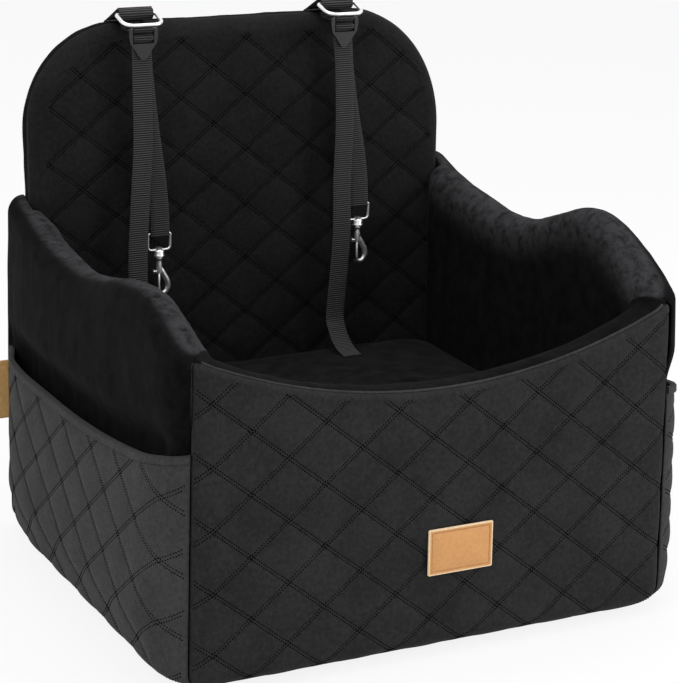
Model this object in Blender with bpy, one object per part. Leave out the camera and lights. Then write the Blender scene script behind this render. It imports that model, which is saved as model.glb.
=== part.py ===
"""Booster car seat for a small dog, with a quilted back and two safety tethers.

Units are metres. +X is the seat's right as seen from its front, -Y is the front and +Z is up.
The origin is the middle of the underside.
"""
import math

import bmesh
import bpy
from mathutils import Vector

# Overall box of the seat
box_width = 0.554
box_depth = 0.516
corner_radius = 0.028
inner_corner_radius = 0.006
corner_lean_run = 0.100
bottom_edge_radius = 0.020
under_turn = math.radians(78)
wall_thickness = 0.036

# Cloth, clearances and cuts
touch_gap = 0.0003
core_gap = 0.0006
pin_gap = 0.0001
cloth_thickness = 0.002
cut_overrun = 0.012
merge_distance = 0.000001
smooth_angle = math.radians(40)

# Base sheet, foam block and cloth floor
base_thickness = 0.003
base_foam_top = 0.118
floor_cloth_thickness = 0.001
base_edge_share = 0.5
base_corner_segments = 5
corner_steps = 3

# Crest of the walls, measured from the floor
lip_middle_height = 0.286
lip_corner_height = 0.345
lip_roll_height = 0.008
crest_roll_height = 0.018
left_hump_height = 0.380
right_hump_height = 0.409
left_dip_height = 0.355
right_dip_height = 0.364
left_rear_height = 0.393
right_rear_height = 0.402
hump_from_front = 0.135
dip_from_front = 0.305
wall_end_radius = 0.012

# How far the soft walls stand out from the plan, low down and between their sewn edges
corner_flare = 0.008
wall_bulge = 0.015
front_bulge = 0.003
bulge_top = 0.420
bulge_front_run = 0.032
bulge_rear_run = 0.140
bulge_rise = 0.028

# Back cushion
back_height = 0.5775
back_side_margin = 0.020
back_thickness = 0.044
back_edge_radius = 0.020
left_corner_width = 0.110
left_corner_height = 0.110
right_corner_width = 0.120
right_corner_height = 0.142
back_rim_width = 0.012
back_lean = 0.010
back_corner_segments = 8

# Quilting: diamonds between crossing rows of stitches
quilt_thickness = 0.005
quilt_sink = 0.0032
diamond_width = 0.0795
diamond_height = 0.064
quilt_origin_x = -0.0127
quilt_origin_z = 0.1768
back_quilt_origin_x = 0.0
back_quilt_origin_z = 0.3000
quilt_roundness_share = 0.55
seam_fade = 0.016
seam_sink = 0.0024
back_panel_rise = 0.012

# Side pockets
pocket_thickness = 0.003
pocket_quilt_sink = 0.0015
pocket_room = 0.009
pocket_bulge = 0.007
pocket_rise = 0.055
pocket_end_blend = 0.055
mouth_rear_height = 0.217
mouth_middle_height = 0.219
mouth_front_height = 0.249
mouth_low_from_front = 0.300
mouth_blend = 0.045
pocket_rear_margin = 0.014
hem_height = 0.015
hem_thickness = 0.0012

# Seat cushion
cushion_edge_top = 0.182
cushion_crown = 0.010
cushion_drawn_in = 0.004
cushion_corner_radius = 0.030
cushion_roll = 0.016
zip_length = 0.340
zip_height = 0.006

# Patch and tag
patch_width = 0.074
patch_height = 0.049
patch_thickness = 0.0016
patch_corner_radius = 0.003
patch_x = 0.0188
patch_z = 0.1160
tag_reach = 0.016
tag_bottom = 0.133
tag_height = 0.068
tag_thickness = 0.0014
tag_from_rear = 0.0128

# Tethers and what hangs from them
left_tether_x = -0.1375
right_tether_x = 0.1085
hang_from_back = 0.019
top_strap_width = 0.040
top_strap_thickness = 0.0015
top_strap_sewn_length = 0.075
top_strap_eye_radius = 0.0062
ring_wire_radius = 0.0022
ring_half_width = 0.0228
ring_depth = 0.028
ring_front_radius = 0.0115
ring_rear_radius = 0.0026
ring_ahead = 0.0055
ring_tilt = math.radians(17)
ring_bar_rise = 0.0125
tether_width = 0.0230
tether_thickness = 0.0013
left_strand_length = 0.2335
right_strand_length = 0.2205
left_strand_drift = 0.0223
right_strand_drift = 0.0278
left_tail_drift = -0.009
right_tail_drift = -0.018
left_sway_shares = (0.30, 0.65)
right_sway_shares = (0.60, 1.10)
left_tail_bow = 0.0
right_tail_bow = 0.0038
tail_bow_share = 0.5
tail_forward = 0.012
tail_curl_rise = 0.063
tail_end_forward = 0.085
tail_end_lift = 0.0085
sewn_overlap = 0.022

# Ladder lock
lock_width = 0.034
lock_thickness = 0.004
lock_rail = 0.0045
lock_bar_radius = 0.0018
lock_bar_pitch = 0.0095
lock_tongue_top = 0.006
lock_tongue_reach = 0.0235
lock_top_reach = 0.0115
lock_apex_radius = 0.006
lock_top_bar_drop = 0.001
tab_rear_angle = 112
tab_front_angle = 134

# Snap hook
eye_wire = 0.0030
eye_side_clear = 0.0005
eye_window_height = 0.016
eye_base_height = 0.0085
eye_waist = 0.013
hook_neck_radius = 0.0020
hook_head_radius = 0.0042
hook_head_height = 0.0018
hook_barrel_radius = 0.0037
hook_barrel_length = 0.0190
hook_bore_roof = 0.0025
hook_arm_radius = 0.0025
hook_ring_half_width = 0.0068
hook_ring_half_height = 0.0095
hook_ring_offset = 0.0040
hook_ring_drop = 0.0142
bolt_radius = 0.0015
bolt_travel = 0.0070
bolt_in_barrel = 0.0052
knob_from_end = 0.0022
knob_neck_radius = 0.0010
knob_radius = 0.0026
knob_thickness = 0.0014
knob_reach = 0.0066

# Derived levels and places
base_top = base_thickness + touch_gap
front_half = box_width / 2 - corner_radius
arc_length = corner_radius * math.pi / 2
mitre_u = front_half + arc_length / 2
side_start_u = front_half + arc_length
rear_u = side_start_u + box_depth - corner_radius
front_y = -box_depth / 2
rear_y = box_depth / 2
back_front_y = rear_y - back_thickness
roll_start_v = base_top + bottom_edge_radius
cover_bottom_v = base_top + bottom_edge_radius * (1 - math.pi / 2)
middle_roll_v = base_top + bottom_edge_radius * (1 - math.pi / 4)
pocket_end_u = rear_u - pocket_rear_margin
skin_bottom_v = base_top + bottom_edge_radius * (1 - under_turn)
panel_recess = quilt_thickness + touch_gap
hang_y = back_front_y - hang_from_back
ring_bar_y = hang_y - ring_ahead + ring_depth * math.cos(ring_tilt)
back_half_width = box_width / 2 - back_side_margin
back_panel_bottom = base_foam_top + back_panel_rise
ring_bar_height = back_height + ring_bar_rise
lock_top_bar_height = back_height - lock_top_bar_drop
lock_height = lock_top_bar_height - lock_bar_pitch
left_eye_height = lock_top_bar_height - left_strand_length
right_eye_height = lock_top_bar_height - right_strand_length
tail_curl_height = cushion_edge_top + tail_curl_rise
well_half_width = box_width / 2 - wall_thickness
well_front_y = front_y + wall_thickness
cushion_bottom = base_foam_top + 2 * touch_gap + floor_cloth_thickness


def clear_scene():
    """Remove every object that the file already holds."""
    for item in list(bpy.data.objects):
        bpy.data.objects.remove(item, do_unlink=True)


def material(name, colour, roughness, metallic=0.0):
    """A Principled material with one colour, roughness and metallic value."""
    made = bpy.data.materials.get(name)
    if made:
        return made
    made = bpy.data.materials.new(name)
    made.use_nodes = True
    shader = made.node_tree.nodes["Principled BSDF"]
    shader.inputs["Base Color"].default_value = (*colour, 1.0)
    shader.inputs["Roughness"].default_value = roughness
    shader.inputs["Metallic"].default_value = metallic
    made.diffuse_color = (*colour, 1.0)
    return made


def plush():
    return material("black_plush", (0.010, 0.010, 0.011), 0.9)


def velvet():
    return material("charcoal_velvet", (0.028, 0.028, 0.029), 0.85)


def foam():
    return material("grey_foam", (0.45, 0.45, 0.43), 0.95)


def webbing():
    return material("black_webbing", (0.035, 0.035, 0.036), 0.7)


def chrome():
    return material("plated_zinc", (0.75, 0.75, 0.76), 0.15, 1.0)


def leather():
    return material("tan_leatherette", (0.62, 0.33, 0.12), 0.6)


def plastic():
    return material("black_acetal", (0.02, 0.02, 0.02), 0.4)


def add_object(name, bm, finish):
    """Close a bmesh into a named, smooth shaded object that faces outward."""
    bmesh.ops.remove_doubles(bm, verts=bm.verts, dist=merge_distance)
    bmesh.ops.recalc_face_normals(bm, faces=bm.faces)
    mesh = bpy.data.meshes.new(name)
    bm.to_mesh(mesh)
    bm.free()
    item = bpy.data.objects.new(name, mesh)
    bpy.context.scene.collection.objects.link(item)
    mesh.materials.append(finish)
    mesh.shade_smooth()
    mesh.set_sharp_from_angle(angle=smooth_angle)
    return item


def combine(item, tool, operation):
    """Join a tool to an object or cut it away, and drop the tool."""
    step = item.modifiers.new("combine", "BOOLEAN")
    step.operation = operation
    step.solver = "EXACT"
    step.object = tool
    bpy.context.view_layer.update()
    graph = bpy.context.evaluated_depsgraph_get()
    made = bpy.data.meshes.new_from_object(item.evaluated_get(graph))
    item.modifiers.clear()
    old = item.data
    item.data = made
    made.name = item.name
    bpy.data.meshes.remove(old)
    spent = tool.data
    bpy.data.objects.remove(tool, do_unlink=True)
    bpy.data.meshes.remove(spent)
    return item


def cut(item, tool):
    return combine(item, tool, "DIFFERENCE")


def join(item, tool):
    return combine(item, tool, "UNION")


def set_origin(item, point):
    """Move an object's origin to a point and leave its surface in place."""
    move = Vector(point)
    for vertex in item.data.vertices:
        vertex.co -= move
    item.location = move
    return item


def loft(name, rings, finish, closed=False):
    """Skin a row of rings with as many points each, and cap the two ends."""
    bm = bmesh.new()
    rows = [[bm.verts.new(point) for point in ring] for ring in rings]
    count = len(rows[0])
    pairs = list(zip(rows, rows[1:]))
    if closed:
        pairs.append((rows[-1], rows[0]))
    sides = []
    for first, second in pairs:
        for k in range(count):
            after = (k + 1) % count
            sides.append(bm.faces.new((first[k], first[after], second[after], second[k])))
    bmesh.ops.triangulate(bm, faces=sides, quad_method="FIXED")
    if not closed:
        bm.faces.new(rows[0])
        bm.faces.new(rows[-1])
    return add_object(name, bm, finish)


def block(name, low, high, finish):
    """A box between two corners."""
    bm = bmesh.new()
    bmesh.ops.create_cube(bm, size=1)
    for vertex in bm.verts:
        for axis in range(3):
            vertex.co[axis] = high[axis] if vertex.co[axis] > 0 else low[axis]
    return add_object(name, bm, finish)


def rounded_outline(half_x, half_y, radius, segments, shift_y=0.0):
    """Corner points of a rounded rectangle, as (x, y), anticlockwise."""
    points = []
    for quarter in range(4):
        centre_x = (half_x - radius) * (1 if quarter in (0, 3) else -1)
        centre_y = (half_y - radius) * (1 if quarter in (0, 1) else -1)
        for k in range(segments + 1):
            angle = math.pi / 2 * (quarter + k / segments)
            x = centre_x + radius * math.cos(angle)
            y = centre_y + radius * math.sin(angle) + shift_y
            points.append((x, y))
    return points


def smooth_step(value, low, high):
    """0 below low, 1 above high, and an even ease between them."""
    share = min(max((value - low) / (high - low), 0.0), 1.0)
    return share * share * (3 - 2 * share)


def cosine_ease(value, low, high):
    share = min(max((value - low) / (high - low), 0.0), 1.0)
    return (1 - math.cos(math.pi * share)) / 2


def mix(first, second, share):
    return first + (second - first) * share


# The box's outline in plan, as a path from the middle of the front (u = 0) to the rear corners

def edge_frame(u):
    """Point on the outline, the direction into the seat and the direction along the path."""
    side = -1.0 if u < 0 else 1.0
    run = abs(u)
    if run <= front_half:
        x, y, angle = run, front_y, 0.0
    elif run <= side_start_u:
        angle = (run - front_half) / corner_radius
        x = front_half + corner_radius * math.sin(angle)
        y = front_y + corner_radius * (1 - math.cos(angle))
    else:
        angle = math.pi / 2
        x = box_width / 2
        y = front_y + corner_radius + run - side_start_u
    inward = (-side * math.sin(angle), math.cos(angle))
    along = (side * math.cos(angle), math.sin(angle))
    return side * x, y, inward, along


def wall_point(u, shift, depth, z):
    """A point at a depth behind the outline, moved along it by shift, at a height.

    The inner corner has a centre and radius of its own, so that the cloth can turn there too.
    """
    x, y, inward, along = edge_frame(u)
    side = -1.0 if u < 0 else 1.0
    lean = wall_thickness + inner_corner_radius - corner_radius
    share = depth / wall_thickness
    run = abs(u)
    if front_half < run < side_start_u:
        turn = corner_radius - inner_corner_radius
        move_x = share * (turn * inward[0] - side * lean)
        move_y = share * (turn * inward[1] + lean)
    elif run <= front_half:
        lean *= share * max(1 - (front_half - run) / corner_lean_run, 0.0)
        move_x = inward[0] * depth - along[0] * lean
        move_y = inward[1] * depth - along[1] * lean
    else:
        lean *= share * max(1 - (run - side_start_u) / corner_lean_run, 0.0)
        move_x = inward[0] * depth + along[0] * lean
        move_y = inward[1] * depth + along[1] * lean
    out = bulge(u, z) * (1 - share)
    move_x += along[0] * shift - inward[0] * out
    move_y += along[1] * shift - inward[1] * out
    return Vector((x + move_x, y + move_y, z))


def quarter_sine(value):
    return math.sin(math.pi / 2 * min(max(value, 0.0), 1.0))


def bulge(u, z):
    """How far the soft walls stand out: a flare all round, and the fullness between sewn edges."""
    run = abs(u)
    height_share = min(max(z / bulge_top, 0.0), 1.0)
    out = corner_flare * (1 - height_share) * quarter_sine((rear_u - run) / bulge_rear_run)
    full = 1 - height_share ** 3
    if run > mitre_u:
        side = quarter_sine((run - mitre_u) / bulge_front_run) * quarter_sine((rear_u - run) / bulge_rear_run)
        out += wall_bulge * full * side
    else:
        out += front_bulge * full * quarter_sine((mitre_u - run) / corner_lean_run)
    return out * quarter_sine((z - base_top) / bulge_rise)


def skin_point(u, shift, v, inset):
    """A point on the outer skin, where v is the height with the bottom edge rolled flat."""
    if v >= roll_start_v:
        return wall_point(u, shift, inset, v)
    angle = (roll_start_v - v) / bottom_edge_radius
    radius = bottom_edge_radius - inset
    depth = bottom_edge_radius - radius * math.cos(angle)
    return wall_point(u, shift, depth, roll_start_v - radius * math.sin(angle))


def front_crest(u):
    return mix(lip_middle_height, lip_corner_height, (u / mitre_u) ** 2)


def path_run(from_front):
    """Path length of a place on the side wall, given by its distance from the front."""
    return side_start_u + from_front - corner_radius


def side_crest(u):
    """Height of a side wall: up from the front corner to a hump, a dip, and up to the back."""
    run = abs(u)
    if u < 0:
        hump, dip, rear = left_hump_height, left_dip_height, left_rear_height
    else:
        hump, dip, rear = right_hump_height, right_dip_height, right_rear_height
    hump_u = path_run(hump_from_front)
    dip_u = path_run(dip_from_front)
    if run < hump_u:
        return mix(lip_corner_height, hump, quarter_sine((run - mitre_u) / (hump_u - mitre_u)))
    if run < dip_u:
        return mix(hump, dip, cosine_ease(run, hump_u, dip_u))
    return mix(dip, rear, ((run - dip_u) / (rear_u - dip_u)) ** 2)


def end_roll(u):
    """How far the rounded rear end of a wall draws in."""
    past = abs(u) - (rear_u - wall_end_radius)
    if past <= 0:
        return 0.0
    past = min(past, wall_end_radius)
    return wall_end_radius - math.sqrt(wall_end_radius ** 2 - past ** 2)


def roll_height(u):
    """Height of the rounded top: tight along the front lip, fuller along the sides."""
    ease = smooth_step(abs(u), mitre_u, mitre_u + corner_radius)
    return mix(lip_roll_height, crest_roll_height, ease)


def mouth_height(u):
    """Height of a pocket's slack mouth."""
    run = abs(u)
    low_u = path_run(mouth_low_from_front)
    if run < low_u:
        share = (low_u - run) / (low_u - mitre_u)
        return mix(mouth_middle_height, mouth_front_height, share ** 2)
    return mix(mouth_middle_height, mouth_rear_height, (run - low_u) / (rear_u - low_u))


def pocket_swell(u, v):
    """1 where the pocket stands open, 0 along its sewn ends and bottom."""
    run = abs(u)
    ends = smooth_step(run, mitre_u, mitre_u + pocket_end_blend)
    ends *= 1 - smooth_step(run, pocket_end_u - pocket_end_blend, pocket_end_u)
    return ends * smooth_step(v, roll_start_v, roll_start_v + pocket_rise)


def side_recess(u, v):
    """How far a side cover stands back behind its pocket."""
    if abs(u) > pocket_end_u + 1.5 * touch_gap:
        return 0.0
    mouth = mouth_height(u)
    behind = 1 - smooth_step(v, mouth + 2 * hem_thickness, mouth + mouth_blend)
    rise = smooth_step(v, roll_start_v, roll_start_v + pocket_rise)
    hem_room = (hem_thickness + touch_gap) * rise
    return (pocket_thickness + touch_gap + hem_room + pocket_room * pocket_swell(u, v)) * behind


def wall_ring(u, shift, crest, recess, rows, inset, open_bottom, roll_segments):
    """One cross-section of a wall, from its outer bottom edge over the crest to its inner foot."""
    drawn = inset + end_roll(u)
    top = crest(u) - drawn
    roll = roll_height(u) - min(inset, roll_height(u) / 2)
    half = (wall_thickness - inset - drawn) / 2
    shoulder = top - roll
    floor = base_top + inset
    points = []
    for v in rows(u, shoulder):
        points.append(skin_point(u, shift, v, drawn + recess(u, v)))
    outer_depth = drawn + recess(u, shoulder)
    half = (wall_thickness - inset - outer_depth) / 2
    for k in range(1, roll_segments):
        angle = math.pi * k / roll_segments
        depth = outer_depth + half * (1 - math.cos(angle))
        points.append(wall_point(u, shift, depth, shoulder + roll * math.sin(angle)))
    inner = wall_thickness - inset
    points.append(wall_point(u, shift, inner, shoulder))
    points.append(wall_point(u, shift, inner, mix(floor, shoulder, 0.5)))
    if open_bottom:
        points.append(wall_point(u, shift, inner, base_top - cut_overrun))
        points.append(wall_point(u, shift, bottom_edge_radius + cloth_thickness, base_top - cut_overrun))
    else:
        points.append(wall_point(u, shift, inner, floor))
    return points


def bottom_roll_rows():
    """Rows of the rolled bottom edge, from under the wall up to its upright face."""
    return [cover_bottom_v, middle_roll_v, roll_start_v]


def plain_rows(u, shoulder):
    rows = bottom_roll_rows()
    rows.append(mix(rows[-1], shoulder, 0.45))
    rows.append(shoulder)
    return rows


def side_core_rows(u, shoulder):
    """Rows of a side's foam, with one where its pocket starts to stand fully open."""
    rows = bottom_roll_rows()
    rows.append(rows[-1] + pocket_rise)
    rows.append(mix(rows[-1], shoulder, 0.45))
    rows.append(shoulder)
    return rows


def side_rows(u, shoulder):
    """Rows of a side cover: closer together round the pocket's mouth."""
    rows = bottom_roll_rows()
    mouth = mouth_height(u)
    rows.append(rows[-1] + pocket_rise)
    rows.append(mouth - hem_height)
    rows.append(mouth + 2 * hem_thickness)
    rows.append(mix(mouth, mouth + mouth_blend, 0.5))
    rows.append(min(mouth + mouth_blend, mix(mouth, shoulder, 0.8)))
    rows.append(shoulder)
    return rows


def front_rows(u, shoulder):
    """Rows of the front cover, with a ledge where the quilt panel is sewn under the lip."""
    rows = bottom_roll_rows()
    rows.append(mix(rows[-1], shoulder, 0.45))
    rows.append(shoulder - 2 * touch_gap)
    rows.append(shoulder - touch_gap)
    rows.append(shoulder)
    return rows


def front_recess(u, v):
    shoulder = front_crest(u) - roll_height(u)
    return panel_recess if v <= shoulder - 1.5 * touch_gap else 0.0


def no_recess(u, v):
    return 0.0


def core_recess(u, v):
    return panel_recess


def side_core_recess(u, v):
    """The wall foam stands back far enough for the whole pocket, and never steps."""
    return side_recess(math.copysign(min(abs(u), pocket_end_u), u), min(v, mouth_height(u)))


def spread(low, high, count):
    return [mix(low, high, k / (count - 1)) for k in range(count)]


def lattice_lines(low, high, origin, pitch):
    """Grid lines through the stitch crossings, and the two edges."""
    margin = pitch / 4
    first = math.ceil((low + margin - origin) / pitch)
    last = math.floor((high - margin - origin) / pitch)
    return [low] + [origin + k * pitch for k in range(first, last + 1)] + [high]


def front_columns(pitch):
    """Places along the front wall, from the left corner seam to the right one."""
    corner = spread(front_half, mitre_u, corner_steps)
    left = [-u for u in reversed(corner[1:])]
    return left + lattice_lines(-front_half, front_half, quilt_origin_x, pitch) + corner[1:]


def side_columns(side, pitch):
    """Places along a side wall, from its corner seam to the rear end of its pocket."""
    corner = spread(mitre_u, side_start_u, corner_steps)
    ends = sorted((side * side_start_u, side * pocket_end_u))
    lines = lattice_lines(ends[0], ends[1], quilt_origin_x, pitch)
    if side < 0:
        lines = lines[::-1]
    return [side * u for u in corner[:-1]] + lines


def side_stations(side, shift, rear, ledge, overrun):
    """Places along a side wall and their shift, from the corner seam to its rounded rear end."""
    columns = side_columns(side, diamond_width / 2)
    stations = [(columns[0], shift)] + [(u, 0.0) for u in columns[1:]]
    if overrun:
        stations = [(columns[0], -overrun)] + stations
    if ledge:
        stations += [(side * (pocket_end_u + touch_gap), 0.0), (side * (pocket_end_u + 2 * touch_gap), 0.0)]
    rest = (1.0, 0.35, 0.08) if ledge else (0.8, 0.35, 0.08)
    return stations + [(side * (rear - wall_end_radius * share), 0.0) for share in rest]


def front_stations(shift, overrun):
    """Places along the front wall and their shift, from the left corner seam to the right one."""
    columns = front_columns(diamond_width / 2)
    stations = [(columns[0], -shift)] + [(u, 0.0) for u in columns[1:-1]] + [(columns[-1], -shift)]
    if overrun:
        stations = [(columns[0], overrun)] + stations + [(columns[-1], overrun)]
    return stations


def wall_solid(name, stations, crest, recess, rows, inset, finish, open_bottom=False, roll_segments=6):
    rings = [wall_ring(u, shift, crest, recess, rows, inset, open_bottom, roll_segments) for u, shift in stations]
    return loft(name, rings, finish)


def lean_y(z):
    """How far the back leans away from upright at a height."""
    return back_lean * z / back_height


def back_rebate(grow):
    """Cutter for the recess in which the back cushion stands between the walls."""
    half = back_half_width + touch_gap + grow
    low = (-half, back_front_y - touch_gap - grow, -2 * cut_overrun)
    high = (half, rear_y + 2 * cut_overrun, back_height)
    rebate = block("rebate", low, high, foam())
    for vertex in rebate.data.vertices:
        vertex.co.y += lean_y(vertex.co.z)
    return rebate


# Walls: plush sleeves over foam

def side_walls(side, word):
    """One side wall: a plush cover open underneath and at the corner, and its foam core."""
    half_gap = touch_gap / 2
    stations = side_stations(side, half_gap, rear_u, True, 0.0)
    cover = wall_solid(word + "_wall_cover", stations, side_crest, side_recess, side_rows, 0.0, plush())
    cut(cover, back_rebate(0.0))
    stations = side_stations(side, 0.0, rear_u - cloth_thickness, False, cut_overrun / 2)
    hollow = wall_solid("hollow", stations, side_crest, side_core_recess, side_core_rows, cloth_thickness, foam(),
                        open_bottom=True, roll_segments=4)
    cut(hollow, back_rebate(cloth_thickness))
    cut(cover, hollow)
    inset = cloth_thickness + core_gap
    stations = side_stations(side, half_gap, rear_u - inset, False, 0.0)
    core = wall_solid(word + "_wall_foam", stations, side_crest, side_core_recess, side_core_rows, inset, foam(),
                      roll_segments=4)
    cut(core, back_rebate(inset))


def front_wall():
    """The front wall: a plush cover with a rolled lip and its foam core."""
    half_gap = touch_gap / 2
    cover = wall_solid("front_wall_cover", front_stations(half_gap, 0.0), front_crest, front_recess,
                       front_rows, 0.0, plush())
    hollow = wall_solid("hollow", front_stations(0.0, cut_overrun / 2), front_crest, core_recess,
                        plain_rows, cloth_thickness, foam(), open_bottom=True, roll_segments=4)
    cut(cover, hollow)
    wall_solid("front_wall_foam", front_stations(half_gap, 0.0), front_crest, core_recess,
               plain_rows, cloth_thickness + core_gap, foam(), roll_segments=4)


# Quilted panels: a face that follows the stitch rows, and a plain back

def quilt_dip(x, z, origin_x, origin_z):
    """0 on the crown of a diamond, 1 on its stitch rows."""
    across = (x - origin_x) / diamond_width
    up = (z - origin_z) / diamond_height
    puff = abs(math.sin(math.pi * (across + up)) * math.sin(math.pi * (across - up)))
    return 1 - puff ** quilt_roundness_share


def stitch_leans_right(x, z, origin_x, origin_z):
    """Whether the stitch row through a quarter diamond climbs towards +X."""
    column = math.floor((x - origin_x) / (diamond_width / 2))
    row = math.floor((z - origin_z) / (diamond_height / 2))
    return (column + row) % 2 == 0


def sheet_grid(bm, columns, rows, top_of, place, leans_right):
    """A grid whose columns end at a curved top edge. Gives back its rim, from the lower first corner."""
    grid = []
    for x in columns:
        top = top_of(x)
        levels = [z for z in rows if z < top - diamond_height / 16] + [top]
        grid.append([bm.verts.new(place(x, z)) for z in levels])
    for i in range(len(columns) - 1):
        left, right = grid[i], grid[i + 1]
        for j in range(max(len(left), len(right)) - 1):
            a, d = left[min(j, len(left) - 1)], left[min(j + 1, len(left) - 1)]
            b, c = right[min(j, len(right) - 1)], right[min(j + 1, len(right) - 1)]
            if a is d:
                bm.faces.new((a, b, c))
            elif b is c:
                bm.faces.new((a, b, d))
            else:
                x = (columns[i] + columns[i + 1]) / 2
                z = (rows[j] + rows[min(j + 1, len(rows) - 1)]) / 2
                if leans_right(x, z) == (columns[i] < columns[i + 1]):
                    bm.faces.new((a, b, c))
                    bm.faces.new((a, c, d))
                else:
                    bm.faces.new((a, b, d))
                    bm.faces.new((b, c, d))
    return grid_rim(grid)


def plain_grid(bm, columns, rows_at, place):
    """A grid with as many rows in each column. Gives back its rim, from the lower first corner."""
    grid = [[bm.verts.new(place(x, z)) for z in rows_at(x)] for x in columns]
    for left, right in zip(grid, grid[1:]):
        for j in range(len(left) - 1):
            bm.faces.new((left[j], right[j], right[j + 1], left[j + 1]))
    return grid_rim(grid)


def grid_rim(grid):
    bottom = [column[0] for column in grid]
    top = [column[-1] for column in grid]
    return bottom + grid[-1][1:-1] + top[::-1] + grid[0][1:-1][::-1]


def zip_rims(bm, outer, inner):
    """Close the edge between two rims that start at the same corner."""
    i = j = 0
    while i < len(outer) or j < len(inner):
        a, b = outer[i % len(outer)], inner[j % len(inner)]
        next_a, next_b = outer[(i + 1) % len(outer)], inner[(j + 1) % len(inner)]
        take_outer = (next_a.co - b.co).length <= (next_b.co - a.co).length
        if j >= len(inner) or (i < len(outer) and take_outer):
            bm.faces.new((a, next_a, b))
            i += 1
        else:
            bm.faces.new((a, b, next_b))
            j += 1


def quilted_panel(name, face_grid, back_grid, origin):
    """A quilted panel from its face (columns, rows, top edge, place) and back (columns, rows, place)."""
    bm = bmesh.new()
    columns, rows, top_of, face = face_grid
    face_rim = sheet_grid(bm, columns, rows, top_of, face, lambda x, z: stitch_leans_right(x, z, *origin))
    back_rim = plain_grid(bm, *back_grid)
    zip_rims(bm, face_rim, back_rim)
    return add_object(name, bm, velvet())


def panel_rows(highest):
    """Rows of a panel that turns under the box's bottom edge."""
    lines = lattice_lines(roll_start_v, highest, quilt_origin_z, diamond_height / 4)
    return [skin_bottom_v, middle_roll_v] + lines


def front_quilt_panel():
    """Quilted velvet over the front wall, from one corner seam round to the other."""
    def top_of(u):
        return front_crest(u) - roll_height(u) - 4 * touch_gap

    def shift(u):
        return -touch_gap / 2 if abs(u) >= mitre_u else 0.0

    def face(u, v):
        edge = min(mitre_u - abs(u), top_of(u) - v, v - skin_bottom_v)
        free = smooth_step(edge, 0.0, seam_fade)
        dip = quilt_sink * quilt_dip(u, v, quilt_origin_x, quilt_origin_z)
        return skin_point(u, shift(u), v, mix(seam_sink, dip, free))

    def back(u, v):
        return skin_point(u, shift(u), v, quilt_thickness)

    def back_rows(u):
        return [skin_bottom_v, middle_roll_v, roll_start_v, mix(roll_start_v, top_of(u), 0.45), top_of(u)]

    face_grid = (front_columns(diamond_width / 4), panel_rows(lip_corner_height), top_of, face)
    back_grid = (front_columns(diamond_width / 2), back_rows, back)
    quilted_panel("front_quilt_panel", face_grid, back_grid, (quilt_origin_x, quilt_origin_z))


def pocket_skin(u, shift, v, inset):
    return skin_point(u, shift, v, inset - pocket_bulge * pocket_swell(u, v))


def pocket(side, word):
    """One side pocket: a quilted panel, and a strip folded over its mouth."""
    columns = side_columns(side, diamond_width / 4)

    def shift(u):
        return touch_gap / 2 if abs(u) <= mitre_u else 0.0

    def face(u, v):
        edge = min(abs(u - columns[0]), abs(u - columns[-1]), v - skin_bottom_v)
        free = smooth_step(edge, 0.0, seam_fade)
        mouth_free = smooth_step(mouth_height(u) - v, hem_height, hem_height + seam_fade)
        dip = pocket_quilt_sink * quilt_dip(u, v, quilt_origin_x, quilt_origin_z)
        dip = mix(pocket_quilt_sink / 2, dip, free)
        return pocket_skin(u, shift(u), v, mix(hem_thickness, dip, mouth_free))

    def back(u, v):
        return pocket_skin(u, shift(u), v, pocket_thickness)

    def back_rows(u):
        mouth = mouth_height(u)
        return [skin_bottom_v, middle_roll_v, roll_start_v, roll_start_v + pocket_rise, mouth - hem_height, mouth]

    face_grid = (columns, panel_rows(mouth_front_height + touch_gap), mouth_height, face)
    quilted_panel(word + "_pocket", face_grid, (columns, back_rows, back), (quilt_origin_x, quilt_origin_z))

    rings = []
    for u in columns:
        mouth = mouth_height(u) + touch_gap
        low = mouth - hem_height
        outer = hem_thickness / 2
        inner = pocket_thickness + touch_gap
        section = (
            (low, outer), (low, outer - hem_thickness), (mouth + hem_thickness / 2, outer - hem_thickness),
            (mouth + hem_thickness, mix(outer, inner, 0.5)), (mouth + hem_thickness / 2, inner + hem_thickness),
            (low, inner + hem_thickness), (low, inner), (mouth, inner), (mouth, outer),
        )
        rings.append([pocket_skin(u, shift(u), v, inset) for v, inset in section])
    loft(word + "_pocket_hem", rings, velvet())


# Back cushion

def back_arc(inset, segments, side):
    """A rounded upper corner of the back's outline, drawn in by inset, from its side up to its top."""
    width = left_corner_width if side < 0 else right_corner_width
    height = left_corner_height if side < 0 else right_corner_height
    centre_x = back_half_width - width
    centre_z = back_height - height
    arc = []
    for k in range(segments + 1):
        angle = math.pi / 2 * k / segments
        x = centre_x + (width - inset) * math.cos(angle)
        arc.append((side * x, centre_z + (height - inset) * math.sin(angle)))
    return arc


def back_top(x, inset):
    """Height of the back's outline above a place across its width, drawn in by inset."""
    arc = [(abs(px), z) for px, z in back_arc(inset, back_corner_segments, math.copysign(1.0, x))]
    if abs(x) >= arc[0][0]:
        return arc[0][1]
    for low, high in zip(arc, arc[1:]):
        if high[0] <= abs(x) < low[0]:
            return mix(low[1], high[1], (low[0] - abs(x)) / (low[0] - high[0]))
    return back_height - inset


def back_ring(inset, y, bottom, segments):
    """The back's outline drawn in by inset, as a ring of points at one depth."""
    points = [(-(back_half_width - inset), bottom), (back_half_width - inset, bottom)]
    points += back_arc(inset, segments, 1.0) + back_arc(inset, segments, -1.0)[::-1]
    return [Vector((x, y + lean_y(z), z)) for x, z in points]


def edge_round(inset_share):
    """Depth of a rounded edge, as a share of its radius, at an inset share from the outline."""
    return 1 - math.sqrt(1 - (1 - inset_share) ** 2)


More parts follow.
